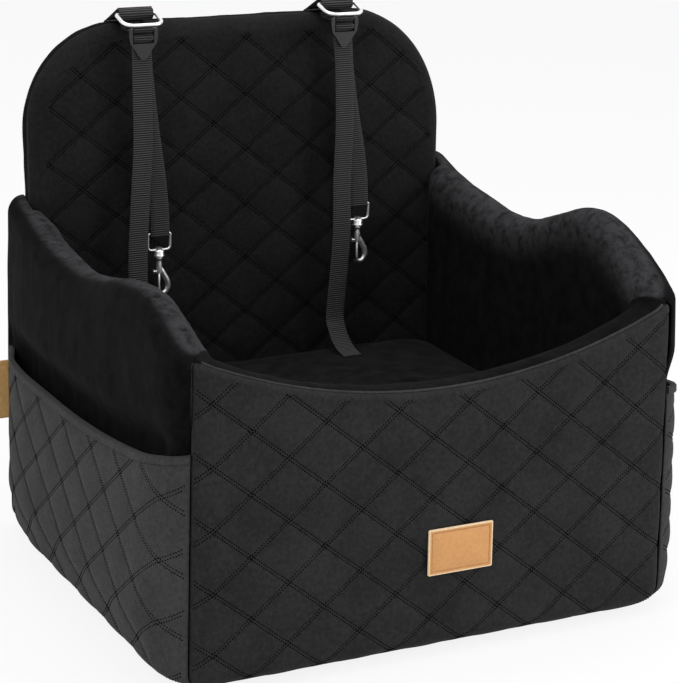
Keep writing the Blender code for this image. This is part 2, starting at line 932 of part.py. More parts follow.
def back_solid(name, front, rear, inset, bottom, finish, segments, rim):
    """A back cushion form between two depths, with its face let in behind a rim if it has one."""
    radius = min(back_edge_radius - inset, (rear - front) / 2 - touch_gap)
    rings = []
    if rim:
        rings.append(back_ring(rim, front + panel_recess, bottom, segments))
        shares = (rim / radius, 0.25, 0.07, 0.0)
    else:
        shares = (1.0, 0.45, 0.12, 0.0)
    for share in shares:
        rings.append(back_ring(inset + radius * share, front + radius * edge_round(share), bottom, segments))
    for share in reversed((1.0, 0.45, 0.12, 0.0)):
        rings.append(back_ring(inset + radius * share, rear - radius * edge_round(share), bottom, segments))
    return loft(name, rings, finish)


def back_cushion():
    """The tall back: a plush cover open underneath, a quilted face and a foam core."""
    cover = back_solid("back_cover", back_front_y, rear_y, 0.0, base_top, plush(), back_corner_segments,
                       back_rim_width)
    hollow_front = back_front_y + panel_recess + cloth_thickness
    hollow = back_solid("hollow", hollow_front, rear_y - cloth_thickness, cloth_thickness,
                        base_top - cut_overrun, foam(), back_corner_segments, 0.0)
    cut(cover, hollow)
    inset = cloth_thickness + touch_gap
    back_solid("back_foam", hollow_front + touch_gap, rear_y - inset, inset, base_top, foam(),
               back_corner_segments, 0.0)

    rim = back_rim_width + touch_gap
    half = back_half_width - rim

    def top_of(x):
        return back_top(x, rim)

    def face(x, z):
        edge = min(half - abs(x), top_of(x) - z)
        free = smooth_step(edge, 0.0, seam_fade)
        dip = quilt_sink * quilt_dip(x, z, back_quilt_origin_x, back_quilt_origin_z)
        return Vector((x, back_front_y + lean_y(z) + mix(seam_sink, dip, free), z))

    def back(x, z):
        return Vector((x, back_front_y + lean_y(z) + quilt_thickness, z))

    origin = (back_quilt_origin_x, back_quilt_origin_z)
    columns = lattice_lines(-half, half, origin[0], diamond_width / 4)
    rows = lattice_lines(back_panel_bottom, back_height, origin[1], diamond_height / 4)
    face_grid = (columns, rows, top_of, face)
    back_grid = (columns[:1] + columns[2:-2:2] + columns[-1:], lambda x: (back_panel_bottom, top_of(x)), back)
    quilted_panel("back_quilt_panel", face_grid, back_grid, origin)


# Base and seat cushion

def base():
    """Anti-slip base sheet, foam block and the cloth floor that the cushion lies on."""
    inset = bottom_edge_radius * base_edge_share
    outline = rounded_outline(box_width / 2 - inset, box_depth / 2 - inset, corner_radius - inset,
                              base_corner_segments)
    rings = [[Vector((x, y, z)) for x, y in outline] for z in (0.0, base_thickness)]
    loft("base_sheet", rings, material("anti_slip_cloth", (0.02, 0.02, 0.02), 0.95))
    half_x = well_half_width - touch_gap
    low_y = well_front_y + touch_gap
    high_y = back_front_y - touch_gap
    half_y = (high_y - low_y) / 2
    shift_y = (high_y + low_y) / 2
    outline = rounded_outline(half_x, half_y, inner_corner_radius + touch_gap, 2, shift_y)
    rings = [[Vector((x, y, z)) for x, y in outline] for z in (base_top, base_foam_top)]
    loft("base_foam", rings, foam())
    floor_low = base_foam_top + touch_gap
    rings = [[Vector((x, y, z)) for x, y in outline] for z in (floor_low, floor_low + floor_cloth_thickness)]
    loft("cloth_floor", rings, plush())


def cushion_form(name, inset, finish, segments, sides):
    """A crowned cushion whose long sides are drawn in between its corners."""
    half_x = well_half_width - touch_gap
    low_y = well_front_y + touch_gap
    high_y = back_front_y - touch_gap
    half_y = (high_y - low_y) / 2
    shift_y = (high_y + low_y) / 2
    low = cushion_bottom + inset
    edge = cushion_edge_top - inset
    levels = [(low, cushion_roll * 0.6), (mix(low, edge, 0.2), cushion_roll * 0.1), (mix(low, edge, 0.5), 0.0),
              (mix(low, edge, 0.82), cushion_roll * 0.2), (edge, cushion_roll)]
    rings = []
    for z, roll in levels:
        rings.append(cushion_ring(half_x - inset - roll, half_y - inset - roll, shift_y, z, segments, sides))
    flat_x = half_x - inset - cushion_roll
    flat_y = half_y - inset - cushion_roll
    for share in (0.86, 0.6, 0.3):
        z = edge + cushion_crown * (1 - share ** 2)
        rings.append(cushion_ring(flat_x * share, flat_y * share, shift_y, z, segments, sides))
    return loft(name, rings, finish)


def cushion_ring(half_x, half_y, shift_y, z, segments, sides):
    """A rounded rectangle with points along its sides, which bow inward a little."""
    radius = min(cushion_corner_radius, half_x / 2, half_y / 2)
    corners = rounded_outline(half_x, half_y, radius, segments)
    points = []
    for k, point in enumerate(corners):
        points.append(point)
        if k % (segments + 1) == segments:
            after = corners[(k + 1) % len(corners)]
            for step in range(1, sides):
                share = step / sides
                x = mix(point[0], after[0], share)
                y = mix(point[1], after[1], share)
                bow = 1 - cushion_drawn_in / half_x * math.sin(math.pi * share)
                if abs(x) > abs(y):
                    x *= bow
                elif y < 0:
                    y *= bow
                points.append((x, y))
    return [Vector((x, y + shift_y, z)) for x, y in points]


def seat_cushion():
    """The loose cushion: a plush cover with a zip at its rear edge, and its foam."""
    cover = cushion_form("seat_cushion_cover", 0.0, plush(), 3, 6)
    cut(cover, cushion_form("hollow", cloth_thickness, foam(), 2, 4))
    cushion_form("seat_cushion_foam", cloth_thickness + touch_gap, foam(), 2, 4)
    middle = mix(cushion_bottom, cushion_edge_top, 0.5)
    rear = back_front_y - touch_gap
    half = zip_length / 2
    slot_low = (-half, rear - cloth_thickness - touch_gap / 2, middle - zip_height / 2)
    slot_high = (half, rear + cut_overrun, middle + zip_height / 2)
    cut(cover, block("slot", slot_low, slot_high, foam()))
    low = (-half + touch_gap, rear - cloth_thickness + touch_gap, middle - zip_height / 2 + touch_gap)
    high = (half - touch_gap, rear - touch_gap, middle + zip_height / 2 - touch_gap)
    block("cushion_zip", low, high, plastic())


# Patch and tag

def patch():
    """A leatherette patch with rounded corners, sewn to the front panel."""
    outline = rounded_outline(patch_width / 2, patch_height / 2, patch_corner_radius, 4)
    seat = [wall_point(patch_x + x, 0.0, -touch_gap, patch_z + z) for x, z in outline]
    face = [wall_point(patch_x + x, 0.0, -touch_gap - patch_thickness, patch_z + z) for x, z in outline]
    loft("leather_patch", [seat, face], leather())


def tag():
    """A ribbon folded double, its ends caught in the rear seam of the left pocket."""
    middle_y = rear_y - tag_from_rear
    seam_u = -(side_start_u + middle_y - front_y - corner_radius)
    root = wall_point(seam_u, 0.0, 0.0, tag_bottom).x - touch_gap
    tip = root - tag_reach
    half = tag_thickness / 2
    section = [(root, middle_y - half), (root, middle_y + half)]
    for k in range(7):
        angle = math.pi / 2 + math.pi * k / 6
        section.append((tip + half + half * math.cos(angle), middle_y + half * math.sin(angle)))
    rings = [[Vector((x, y, z)) for x, y in section] for z in (tag_bottom, tag_bottom + tag_height)]
    loft("side_tag", rings, leather())


# Tethers

def arc_points(centre, radius_y, radius_z, start, end, count):
    """Points on an ellipse in the YZ plane, by angle in degrees from +Y towards +Z."""
    points = []
    for k in range(count):
        angle = math.radians(mix(start, end, k / (count - 1)))
        points.append((centre[0] + radius_y * math.cos(angle), centre[1] + radius_z * math.sin(angle)))
    return points


def ribbon(name, path, width, thickness, x_of, finish, closed=False):
    """Webbing of a width and thickness along a path of (y, z) points."""
    rings = []
    count = len(path)
    for k, (y, z) in enumerate(path):
        before = path[(k - 1) % count] if closed or k > 0 else path[0]
        after = path[(k + 1) % count] if closed or k < count - 1 else path[-1]
        run = Vector((0, after[0] - before[0], after[1] - before[1])).normalized()
        side = Vector((0, -run.z, run.y)) * (thickness / 2)
        centre = Vector((x_of(k), y, z))
        half = Vector((width / 2, 0, 0))
        rings.append([centre - half - side, centre + half - side, centre + half + side, centre - half + side])
    return loft(name, rings, finish, closed)


def top_strap(word, x):
    """Wide webbing sewn to the rear of the back, which holds the D-ring over its top edge."""
    half = top_strap_thickness / 2
    under = touch_gap + half
    over = under + top_strap_thickness + touch_gap
    corner = (rear_y - back_edge_radius, back_height - back_edge_radius)
    bar_y = ring_bar_y - lean_y(ring_bar_height)
    eye = (bar_y + top_strap_eye_radius - half - ring_wire_radius - touch_gap, ring_bar_height)
    low = back_height - top_strap_sewn_length
    path = [(rear_y + under, low), (rear_y + under, mix(low, corner[1], 0.5))]
    radius = back_edge_radius + under
    path += arc_points(corner, radius, radius, 0, 90, 7)
    path += arc_points(eye, top_strap_eye_radius, top_strap_eye_radius, -90, -290, 11)
    radius = back_edge_radius + over
    path += arc_points(corner, radius, radius, 75, 0, 6)
    path += [(rear_y + over, mix(low, corner[1], 0.5)), (rear_y + over, low)]
    path = [(y + lean_y(z), z) for y, z in path]
    ribbon(word + "_top_strap", path, top_strap_width, top_strap_thickness, lambda k: x, webbing())


def d_ring(word, x):
    """A bent and welded ring: straight bar in the strap, rounded front."""
    corners = (
        (ring_half_width - ring_rear_radius, ring_rear_radius, ring_rear_radius, 90, 0, 4),
        (ring_half_width - ring_front_radius, ring_depth - ring_front_radius, ring_front_radius, 0, -90, 6),
        (-(ring_half_width - ring_front_radius), ring_depth - ring_front_radius, ring_front_radius, -90, -180, 6),
        (-(ring_half_width - ring_rear_radius), ring_rear_radius, ring_rear_radius, 180, 90, 4),
    )
    plan = []
    for centre_x, centre_d, radius, start, end, count in corners:
        for k in range(count):
            angle = math.radians(mix(start, end, k / (count - 1)))
            plan.append((centre_x + radius * math.cos(angle), centre_d - radius * math.sin(angle)))
    forward = Vector((0, -math.cos(ring_tilt), -math.sin(ring_tilt)))
    up = Vector((0, -math.sin(ring_tilt), math.cos(ring_tilt)))
    start = Vector((x, ring_bar_y, ring_bar_height))
    rings = []
    for k, (px, depth) in enumerate(plan):
        before, after = plan[k - 1], plan[(k + 1) % len(plan)]
        run = Vector((after[0] - before[0], after[1] - before[1])).normalized()
        outward = Vector((run.y, 0, 0)) - forward * run.x
        centre = start + Vector((px, 0, 0)) + forward * depth
        ring = []
        for step in range(8):
            angle = math.tau * (step + 0.5) / 8
            ring.append(centre + (outward * math.cos(angle) + up * math.sin(angle)) * ring_wire_radius)
        rings.append(ring)
    ring = loft(word + "_d_ring", rings, chrome(), closed=True)
    set_origin(ring, start)


def tether_tab(word, x):
    """Webbing sewn to the back's top edge under the D-ring, its doubled end round the ladder lock's top bar."""
    half = tether_thickness / 2
    bar = (hang_y, lock_top_bar_height)
    wrap = lock_bar_radius + touch_gap + half
    shoulder = (back_front_y + back_lean + back_edge_radius, back_height - back_edge_radius)
    under = back_edge_radius + touch_gap + half
    over = under + tether_thickness + touch_gap
    path = arc_points(shoulder, under, under, tab_rear_angle, tab_front_angle, 4)
    path += arc_points(bar, wrap, wrap, 285, 80, 10)
    path += arc_points(shoulder, over, over, tab_front_angle, tab_rear_angle, 4)
    ribbon(word + "_tether_tab", path, tether_width, tether_thickness, lambda k: x, webbing())


def extruded(name, outline, low_y, high_y, finish):
    """An outline of (x, z) points, extruded along Y."""
    rings = [[Vector((x, y, z)) for x, z in outline] for y in (low_y, high_y)]
    return loft(name, rings, finish)


def bar_along_x(name, centre, radius, half_length, sides=12):
    """A round bar along X."""
    rings = []
    for x in (centre[0] - half_length, centre[0] + half_length):
        ring = []
        for k in range(sides):
            angle = math.tau * k / sides
            ring.append(Vector((x, centre[1] + radius * math.cos(angle), centre[2] + radius * math.sin(angle))))
        rings.append(ring)
    return loft(name, rings, plastic())


def ladder_lock(word, x):
    """A moulded strap adjuster: two rails, two bars and a rounded tongue to lift."""
    z = lock_height
    half = lock_width / 2
    inner = half - lock_rail
    top = lock_top_reach - lock_bar_radius / 2
    right = [(inner, top), (half - lock_rail / 4, top), (half, top - lock_rail / 4), (half, lock_bar_radius),
             (half - lock_rail / 3, -lock_tongue_top)]
    apex = []
    for k in range(5):
        angle = math.radians(mix(-30, -90, k / 4))
        apex.append((lock_apex_radius * math.cos(angle),
                     -lock_tongue_reach + lock_apex_radius + lock_apex_radius * math.sin(angle)))
    right += [(mix(right[-1][0], apex[0][0], 0.4), mix(right[-1][1], apex[0][1], 0.35))]
    right += apex
    left = [(-px, pz) for px, pz in reversed(right[:-1])]
    outline = right + left + [(-inner, -lock_tongue_top), (inner, -lock_tongue_top)]
    outline = [(px + x, pz + z) for px, pz in outline]
    lock = extruded(word + "_ladder_lock", outline, hang_y - lock_thickness / 2, hang_y + lock_thickness / 2,
                    plastic())
    length = inner + lock_rail / 2
    join(lock, bar_along_x("bar", (x, hang_y, z), lock_bar_radius, length))
    join(lock, bar_along_x("bar", (x, hang_y, z + lock_bar_pitch), lock_bar_radius, length))
    set_origin(lock, (x, hang_y, z + lock_bar_pitch))


def strand_y():
    """Depth of the strand that goes down to the hook, behind the tail."""
    return tail_top_y() + tether_thickness + 1.5 * touch_gap


def tail_top_y():
    return hang_y + lock_thickness / 2 + touch_gap + tether_thickness / 2


def eye_loop_radius():
    """Middle of the webbing where it turns round the hook's eye."""
    return math.hypot(eye_wire / 2, eye_wire / 2) + touch_gap + tether_thickness / 2


def tail_sway(share, drift, sway_shares, bow):
    """Sideways place of the tail at a share of the way from the lock down to its end."""
    out = bow * math.sin(math.pi * min(share / tail_bow_share, 1.0))
    return out + drift * smooth_step(share, sway_shares[0], sway_shares[1])


def tether_strap(word, x, eye_z, strand_drift, sway):
    """Ribbed webbing in one length: sewn round the hook's eye, up round the lock's bar, down as the tail."""
    z = lock_height
    back = strand_y()
    loop = eye_loop_radius()
    eye = (back + loop, eye_z)
    flap_y = eye[0] + loop
    path = [(back + tether_thickness + touch_gap, eye_z + sewn_overlap)]
    path += [(mix(path[0][0], flap_y, 0.5), mix(eye_z, path[0][1], 0.5)), (flap_y, eye_z + loop / 2)]
    path += arc_points(eye, loop, loop, 360, 180, 8)
    first_strand = len(path)
    path += [(back, mix(eye_z, z, share)) for share in (0.12, 0.3, 0.6, 0.9)]
    wrap = lock_bar_radius + touch_gap + tether_thickness / 2
    bar = (hang_y, z)
    path += arc_points(bar, back - hang_y, wrap, 0, 70, 5)
    path += arc_points(bar, wrap, wrap, 90, 270, 9)
    tail_turn = (hang_y, z - 2 * wrap)
    path += arc_points(tail_turn, tail_top_y() - hang_y, wrap, 70, 0, 4)
    first_tail = len(path)
    tail_top = z - 2 * wrap
    for share in (0.15, 0.35, 0.55, 0.75, 0.92):
        level = mix(tail_top, tail_curl_height, share)
        path.append((tail_top_y() - tail_forward * smooth_step(share, 0.0, 1.0), level))
    rest_z = cushion_edge_top + tail_end_lift
    curl_y = tail_top_y() - tail_forward
    end_y = back_front_y - tail_end_forward
    for k in range(1, 6):
        angle = math.pi / 2 * k / 5
        path.append((curl_y - (curl_y - end_y) * (1 - math.cos(angle)),
                     tail_curl_height - (tail_curl_height - rest_z) * math.sin(angle)))

    def x_of(k):
        level = path[k][1]
        if k <= first_strand + 4:
            return x + strand_drift * smooth_step(z - level, 0.0, z - eye_z)
        if k >= first_tail:
            return x + tail_sway((z - level) / (z - rest_z), *sway)
        return x

    strap = ribbon(word + "_tether_strap", path, tether_width, tether_thickness, x_of, webbing())
    set_origin(strap, (x, hang_y, lock_top_bar_height))


def turned(name, profile, x, y, finish, sides=16):
    """A turned piece about a vertical axis, from (radius, z) points, top to bottom."""
    rings = []
    for radius, z in profile:
        ring = []
        for k in range(sides):
            angle = math.tau * k / sides
            ring.append(Vector((x + radius * math.cos(angle), y + radius * math.sin(angle), z)))
        rings.append(ring)
    return loft(name, rings, finish)


def swept_arm(name, path, radii, x, y, finish, sides=8):
    """A round arm along (x, z) points with a radius at each."""
    rings = []
    for k, (px, pz) in enumerate(path):
        before, after = path[max(k - 1, 0)], path[min(k + 1, len(path) - 1)]
        run = Vector((after[0] - before[0], 0, after[1] - before[1])).normalized()
        across = Vector((run.z, 0, -run.x))
        centre = Vector((x + px, y, pz))
        ring = []
        for step in range(sides):
            angle = math.tau * step / sides
            ring.append(centre + (across * math.cos(angle) + Vector((0, 1, 0)) * math.sin(angle)) * radii[k])
        rings.append(ring)
    return loft(name, rings, finish)


def snap_hook(word, x, eye_z):
    """A swivel snap hook in three pieces: square eye, body with its arm, and sprung bolt."""
    y = strand_y() + eye_loop_radius()
    half = tether_width / 2 + eye_side_clear + eye_wire
    inner = half - eye_wire
    top = eye_z + eye_wire / 2
    window_top = eye_z - eye_wire / 2
    window_low = window_top - eye_window_height
    low = window_low - eye_base_height
    ledge = window_low - eye_base_height / 3
    round_off = eye_wire / 3
    waist = eye_waist / 2
    right = [(half - round_off, top), (half, top - round_off), (half, ledge),
             (mix(half, waist, 0.6), mix(ledge, low, 0.55)), (waist, low)]
    left = [(-px, pz) for px, pz in reversed(right)]
    outline = [(x + px, pz) for px, pz in right + left]
    eye = extruded(word + "_hook_eye", outline, y - eye_wire / 2, y + eye_wire / 2, chrome())
    window = block("window", (x - inner, y - eye_wire, window_low), (x + inner, y + eye_wire, window_top), chrome())
    cut(eye, window)
    bore_radius = hook_neck_radius + pin_gap
    boss_radius = waist
    boss_low = low - eye_wire / 4
    boss = turned("boss", [(boss_radius, ledge), (boss_radius, mix(ledge, low, 0.8)), (boss_radius * 0.8, boss_low)],
                  x, y, chrome())
    join(eye, boss)
    cut(eye, turned("bore", [(bore_radius, window_low + eye_wire), (bore_radius, boss_low - eye_wire)], x, y, chrome()))
    set_origin(eye, (x, y, eye_z))

    head_low = window_low + touch_gap
    head_top = head_low + hook_head_height
    barrel_top = boss_low - touch_gap
    barrel_low = barrel_top - hook_barrel_length
    profile = [(hook_head_radius * 0.5, head_top), (hook_head_radius, mix(head_low, head_top, 0.4)),
               (hook_head_radius, head_low), (hook_neck_radius, head_low), (hook_neck_radius, barrel_top),
               (hook_barrel_radius, barrel_top), (hook_barrel_radius, barrel_low)]
    body = turned(word + "_hook_body", profile, x, y, chrome())
    ring_z = barrel_low - hook_ring_drop
    arm = [(hook_barrel_radius * 0.6, barrel_low + hook_arm_radius * 2), (hook_ring_offset * 1.2, barrel_low)]
    radii = [hook_arm_radius, hook_arm_radius * 1.2]
    seat_share = -hook_ring_offset / hook_ring_half_width
    last = 360 - math.degrees(math.acos(seat_share))
    for k in range(10):
        angle = math.radians(mix(50, last - 360, k / 9))
        arm.append((hook_ring_offset + hook_ring_half_width * math.cos(angle),
                    ring_z + hook_ring_half_height * math.sin(angle)))
        radii.append(hook_arm_radius * mix(1.25, 0.9, k / 9))
    join(body, swept_arm("arm", arm, radii, x, y, chrome()))
    tip_z = arm[-1][1]
    bolt_low = tip_z + radii[-1] + touch_gap
    bore_top = barrel_top - hook_bore_roof
    bore_radius = bolt_radius + pin_gap
    bore = turned("bore", [(bore_radius, bore_top), (bore_radius, bolt_low - touch_gap)], x, y, chrome())
    cut(body, bore)
    knob_z = barrel_low + knob_from_end
    neck_room = knob_neck_radius + touch_gap
    slot = block("slot", (x - hook_barrel_radius - eye_wire, y - neck_room, barrel_low - eye_wire),
                 (x, y + neck_room, knob_z + bolt_travel + neck_room), chrome())
    cut(body, slot)
    set_origin(body, (x, y, barrel_top))

    bolt_top = barrel_low + bolt_in_barrel
    bolt = turned(word + "_hook_bolt", [(bolt_radius * 0.8, bolt_top), (bolt_radius, bolt_top - bolt_radius * 0.3),
                                        (bolt_radius, bolt_low)], x, y, chrome(), sides=12)
    neck = bar_along_x("neck", (x - knob_reach / 2, y, knob_z), knob_neck_radius, knob_reach / 2, 8)
    join(bolt, neck)
    knob = bar_along_x("knob", (x - knob_reach, y, knob_z), knob_radius, knob_thickness / 2, 12)
    join(bolt, knob)
    set_origin(bolt, (x, y, knob_z))


def tether(word, x, eye_z, strand_drift, sway):
    top_strap(word, x)
    d_ring(word, x)
    tether_tab(word, x)
    ladder_lock(word, x)
    tether_strap(word, x, eye_z, strand_drift, sway)
    snap_hook(word, x + strand_drift, eye_z)


clear_scene()
base()
front_wall()
front_quilt_panel()
for hand, hand_word in ((-1, "left"), (1, "right")):
    side_walls(hand, hand_word)
    pocket(hand, hand_word)
back_cushion()
seat_cushion()
patch()
tag()
left_sway = (left_tail_drift, left_sway_shares, left_tail_bow)
right_sway = (right_tail_drift, right_sway_shares, right_tail_bow)
tether("left", left_tether_x, left_eye_height, left_strand_drift, left_sway)
tether("right", right_tether_x, right_eye_height, right_strand_drift, right_sway)
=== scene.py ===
"""Looks of a booster car seat for a small dog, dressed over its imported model.

Units are metres. +X is the seat's right as seen from its front, -Y is the front and +Z is up.
"""
import math

import bmesh
import bpy
from mathutils import Matrix, Vector, noise


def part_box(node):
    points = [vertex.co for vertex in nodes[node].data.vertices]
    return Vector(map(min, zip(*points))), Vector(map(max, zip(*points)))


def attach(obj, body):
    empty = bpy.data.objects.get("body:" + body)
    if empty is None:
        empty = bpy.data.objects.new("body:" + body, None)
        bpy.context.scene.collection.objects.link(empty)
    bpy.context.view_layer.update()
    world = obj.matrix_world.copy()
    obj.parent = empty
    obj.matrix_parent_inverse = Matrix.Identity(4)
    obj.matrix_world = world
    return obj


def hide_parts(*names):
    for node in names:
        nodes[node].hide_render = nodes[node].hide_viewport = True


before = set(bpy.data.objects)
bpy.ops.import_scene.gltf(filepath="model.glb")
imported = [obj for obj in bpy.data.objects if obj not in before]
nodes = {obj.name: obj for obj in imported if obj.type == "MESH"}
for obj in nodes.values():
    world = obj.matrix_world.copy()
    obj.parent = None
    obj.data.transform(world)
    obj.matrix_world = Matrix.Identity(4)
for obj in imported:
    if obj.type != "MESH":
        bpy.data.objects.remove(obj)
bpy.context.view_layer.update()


# Base: a stiff sheet of dotted anti-slip cloth, the foam block that lifts the dog, and the cloth floor
# over it. The sheet is non-woven polyester with rubber dots; the block is cut foam and stays inside.

def linear(code):
    """A colour written as sRGB hex, in the linear values that a shader takes."""
    values = [int(code[k:k + 2], 16) / 255 for k in (1, 3, 5)]
    values = [v / 12.92 if v <= 0.04045 else ((v + 0.055) / 1.055) ** 2.4 for v in values]
    return (*values, 1.0)


def add(tree, kind, options=None, stops=(), output=0, **sockets):
    """Add one shader node and give one of its outputs.

    A socket is named in snake case or as _0, _1, and takes a value or a link. The stops of a colour ramp
    are pairs of a place and a hex colour.
    """
    made = tree.nodes.new(kind)
    for option, value in (options or {}).items():
        setattr(made, option, value)
    for k, (place, code) in enumerate(stops):
        made.color_ramp.elements[k].position = place
        made.color_ramp.elements[k].color = linear(code)
    for key, value in sockets.items():
        if key[1:].isdigit():
            socket = made.inputs[int(key[1:])]
        else:
            wanted = key.replace("_", " ").lower()
            socket = next(s for s in made.inputs if s.name.lower() == wanted)
        if isinstance(value, bpy.types.NodeSocket):
            tree.links.new(value, socket)
        else:
            socket.default_value = value
    return made.outputs[output] if made.outputs else made


def new_finish(name):
    """A material with an empty tree of nodes."""
    finish = bpy.data.materials.new(name)
    finish.use_nodes = True
    finish.node_tree.nodes.clear()
    return finish, finish.node_tree


def surface(tree, colour, raised=(), **constants):
    """Shade a finish from its colour, its raised layers and the shader's own constant values.

    A raised layer is its height, its depth in metres and its strength, and lies on the one before it.
    """
    normal = {}
    for height, depth, strength in raised:
        normal["normal"] = add(tree, "ShaderNodeBump", height=height, distance=depth, strength=strength, **normal)
    shader = add(tree, "ShaderNodeBsdfPrincipled", base_color=colour, **normal, **constants)
    add(tree, "ShaderNodeOutputMaterial", surface=shader)


def grain_of(tree, size, detail=2.0, stretch=(1.0, 1.0, 1.0), rough=0.5):
    """Soft noise with blotches of a real size in metres, stretched along the object's axes."""
    place = add(tree, "ShaderNodeTexCoord", output="Object")
    laid = add(tree, "ShaderNodeMapping", vector=place, scale=[1 / s for s in stretch])
    return add(tree, "ShaderNodeTexNoise", vector=laid, scale=1 / size, detail=detail, roughness=rough)


def dress(piece, finish):
    """Put one finish on every slot of a piece."""
    piece.data.materials.clear()
    piece.data.materials.append(finish)


# Non-woven polyester, needled flat and dotted with rubber: dull fibres with small round dots on them
sheet_finish, tree = new_finish("dotted_anti_slip_cloth")
dot_pitch, dot_share = 0.006, 0.28
where = add(tree, "ShaderNodeTexCoord", output="Object")
from_dot = add(tree, "ShaderNodeTexVoronoi", output="Distance", vector=where, scale=1 / dot_pitch, randomness=0.0)
dot = add(tree, "ShaderNodeMath", {"operation": "LESS_THAN"}, _0=from_dot, _1=dot_share)
fibres = grain_of(tree, 0.0012, 4.0)
colour = add(tree, "ShaderNodeValToRGB", stops=((0.35, "#161616"), (0.65, "#242424")), _0=fibres)
surface(tree, colour, [(fibres, 0.0002, 0.5), (dot, 0.0006, 1.0)], roughness=0.9)

# Polyurethane foam, cut from a block: matt, pale grey, with fine open cells
foam_finish, tree = new_finish("cut_polyurethane_foam")
cells = grain_of(tree, 0.0015, 3.0)
colour = add(tree, "ShaderNodeValToRGB", stops=((0.35, "#8f8f88"), (0.65, "#b4b4ac")), _0=cells)
surface(tree, colour, [(cells, 0.0004, 0.8)], roughness=0.95)
for word in ("base", "front_wall", "left_wall", "right_wall", "back", "seat_cushion"):
    dress(nodes[word + "_foam"], foam_finish)


# Walls: foam boards in sleeves of short black plush, open underneath, sewn to each other at the front
# corners. The crest rolls over from a low front lip to a hump, a dip and a rise towards the back.

# Short pile plush, knitted and brushed: near black, with a painted highlight in patches along the crest where the pile
# catches the light
def plush_finish(name, dark, pale, crest_highlight, sheen):
    tuft, stroke, highlight_patch = 0.0013, 0.020, 0.012
    finish, tree = new_finish(name)
    pile = add(tree, "ShaderNodeValToRGB", stops=((0.38, dark), (0.66, pale)),
               _0=grain_of(tree, stroke, 7.0, rough=0.68))
    # Painted highlight: the crest mask, broken into patches by noise, mixes a paler colour into the pile
    crest = add(tree, "ShaderNodeAttribute", {"attribute_name": "crest"}, output="Fac")
    patchy = add(tree, "ShaderNodeMapRange", _0=grain_of(tree, highlight_patch, 6.0, rough=0.7), _1=0.30, _2=0.56)
    laid = add(tree, "ShaderNodeMath", {"operation": "MULTIPLY"}, _0=crest, _1=patchy)
    colour = add(tree, "ShaderNodeMix", {"data_type": "RGBA"}, output=2, _0=laid, _6=pile, _7=linear(crest_highlight))
    surface(tree, colour, [(grain_of(tree, tuft, 3.0, (1.0, 1.0, 1.6)), 0.0007, 0.6),
                           (grain_of(tree, 4 * tuft, 2.0), 0.0006, 0.4)],
            roughness=0.95, sheen_weight=sheen, sheen_roughness=0.45, sheen_tint=linear("#8a8a8c"),
            specular_ior_level=0.04)
    return finish


# The third colour is the painted highlight along the crest
wall_plush = plush_finish("brushed_black_plush", "#080808", "#141414", "#38383a", 0.05)

box_half_width = 0.277
box_front, box_rear = -0.258, 0.258
corner_radius, inner_corner_radius = 0.028, 0.006
corner_lean_run = 0.100
edge_radius = 0.020
wall_thickness = 0.036
sleeve_low = 0.0033
corner_flare = 0.008
wall_fullness, front_fullness = 0.015, 0.003
fullness_front_run, fullness_rear_run = 0.032, 0.140
fullness_rise, fullness_top = 0.028, 0.420
front_half = box_half_width - corner_radius
corner_arc = corner_radius * math.pi / 2
seam_u = front_half + corner_arc / 2
side_start_u = front_half + corner_arc
rear_u = side_start_u + box_rear - box_front - corner_radius
roll_start = sleeve_low + edge_radius
under_v = sleeve_low + edge_radius * (1 - math.radians(78))
rebate_depth = 0.0197
back_front = 0.214


def mix(first, second, share):
    return first + (second - first) * share


def ease(value, low, high):
    share = min(max((value - low) / (high - low), 0.0), 1.0)
    return share * share * (3 - 2 * share)


def swell(value):
    return math.sin(math.pi / 2 * min(max(value, 0.0), 1.0))


def spread(low, high, step):
    """Even places between two values, no further apart than step."""
    count = max(1, math.ceil(abs(high - low) / step))
    return [mix(low, high, k / count) for k in range(count + 1)]


def plan_at(u):
    """Point on the box's outline, the direction into the seat and the direction along it."""
    side = -1.0 if u < 0 else 1.0
    run = abs(u)
    if run <= front_half:
        x, y, angle = run, box_front, 0.0
    elif run <= side_start_u:
        angle = (run - front_half) / corner_radius
        x = front_half + corner_radius * math.sin(angle)
        y = box_front + corner_radius * (1 - math.cos(angle))
    else:
        angle = math.pi / 2
        x, y = box_half_width, box_front + corner_radius + run - side_start_u
    inward = (-side * math.sin(angle), math.cos(angle))
    along = (side * math.cos(angle), math.sin(angle))
    return side * x, y, inward, along


def fullness(u, z):
    """How far the soft walls stand out from the plan."""
    run = abs(u)
    height = min(max(z / fullness_top, 0.0), 1.0)
    rear = swell((rear_u - run) / fullness_rear_run)
    out = corner_flare * (1 - height) * rear
    if run > seam_u:
        out += wall_fullness * (1 - height ** 3) * swell((run - seam_u) / fullness_front_run) * rear
    else:
        out += front_fullness * (1 - height ** 3) * swell((seam_u - run) / corner_lean_run)
    return out * swell((z - sleeve_low) / fullness_rise)


def wall_point(u, depth, z):
    """A point at a depth behind the outline, at a height. The inner corner has a radius of its own."""
    x, y, inward, along = plan_at(u)
    side = -1.0 if u < 0 else 1.0
    lean = wall_thickness + inner_corner_radius - corner_radius
    share = depth / wall_thickness
    run = abs(u)
    if front_half < run < side_start_u:
        turn = corner_radius - inner_corner_radius
        move_x = share * (turn * inward[0] - side * lean)
        move_y = share * (turn * inward[1] + lean)
    else:
        past = front_half - run if run <= front_half else run - side_start_u
        lean *= share * max(1 - past / corner_lean_run, 0.0) * (-1 if run <= front_half else 1)
        move_x = inward[0] * depth + along[0] * lean
        move_y = inward[1] * depth + along[1] * lean
    out = fullness(u, z) * (1 - share)
    return Vector((x + move_x - inward[0] * out, y + move_y - inward[1] * out, z))


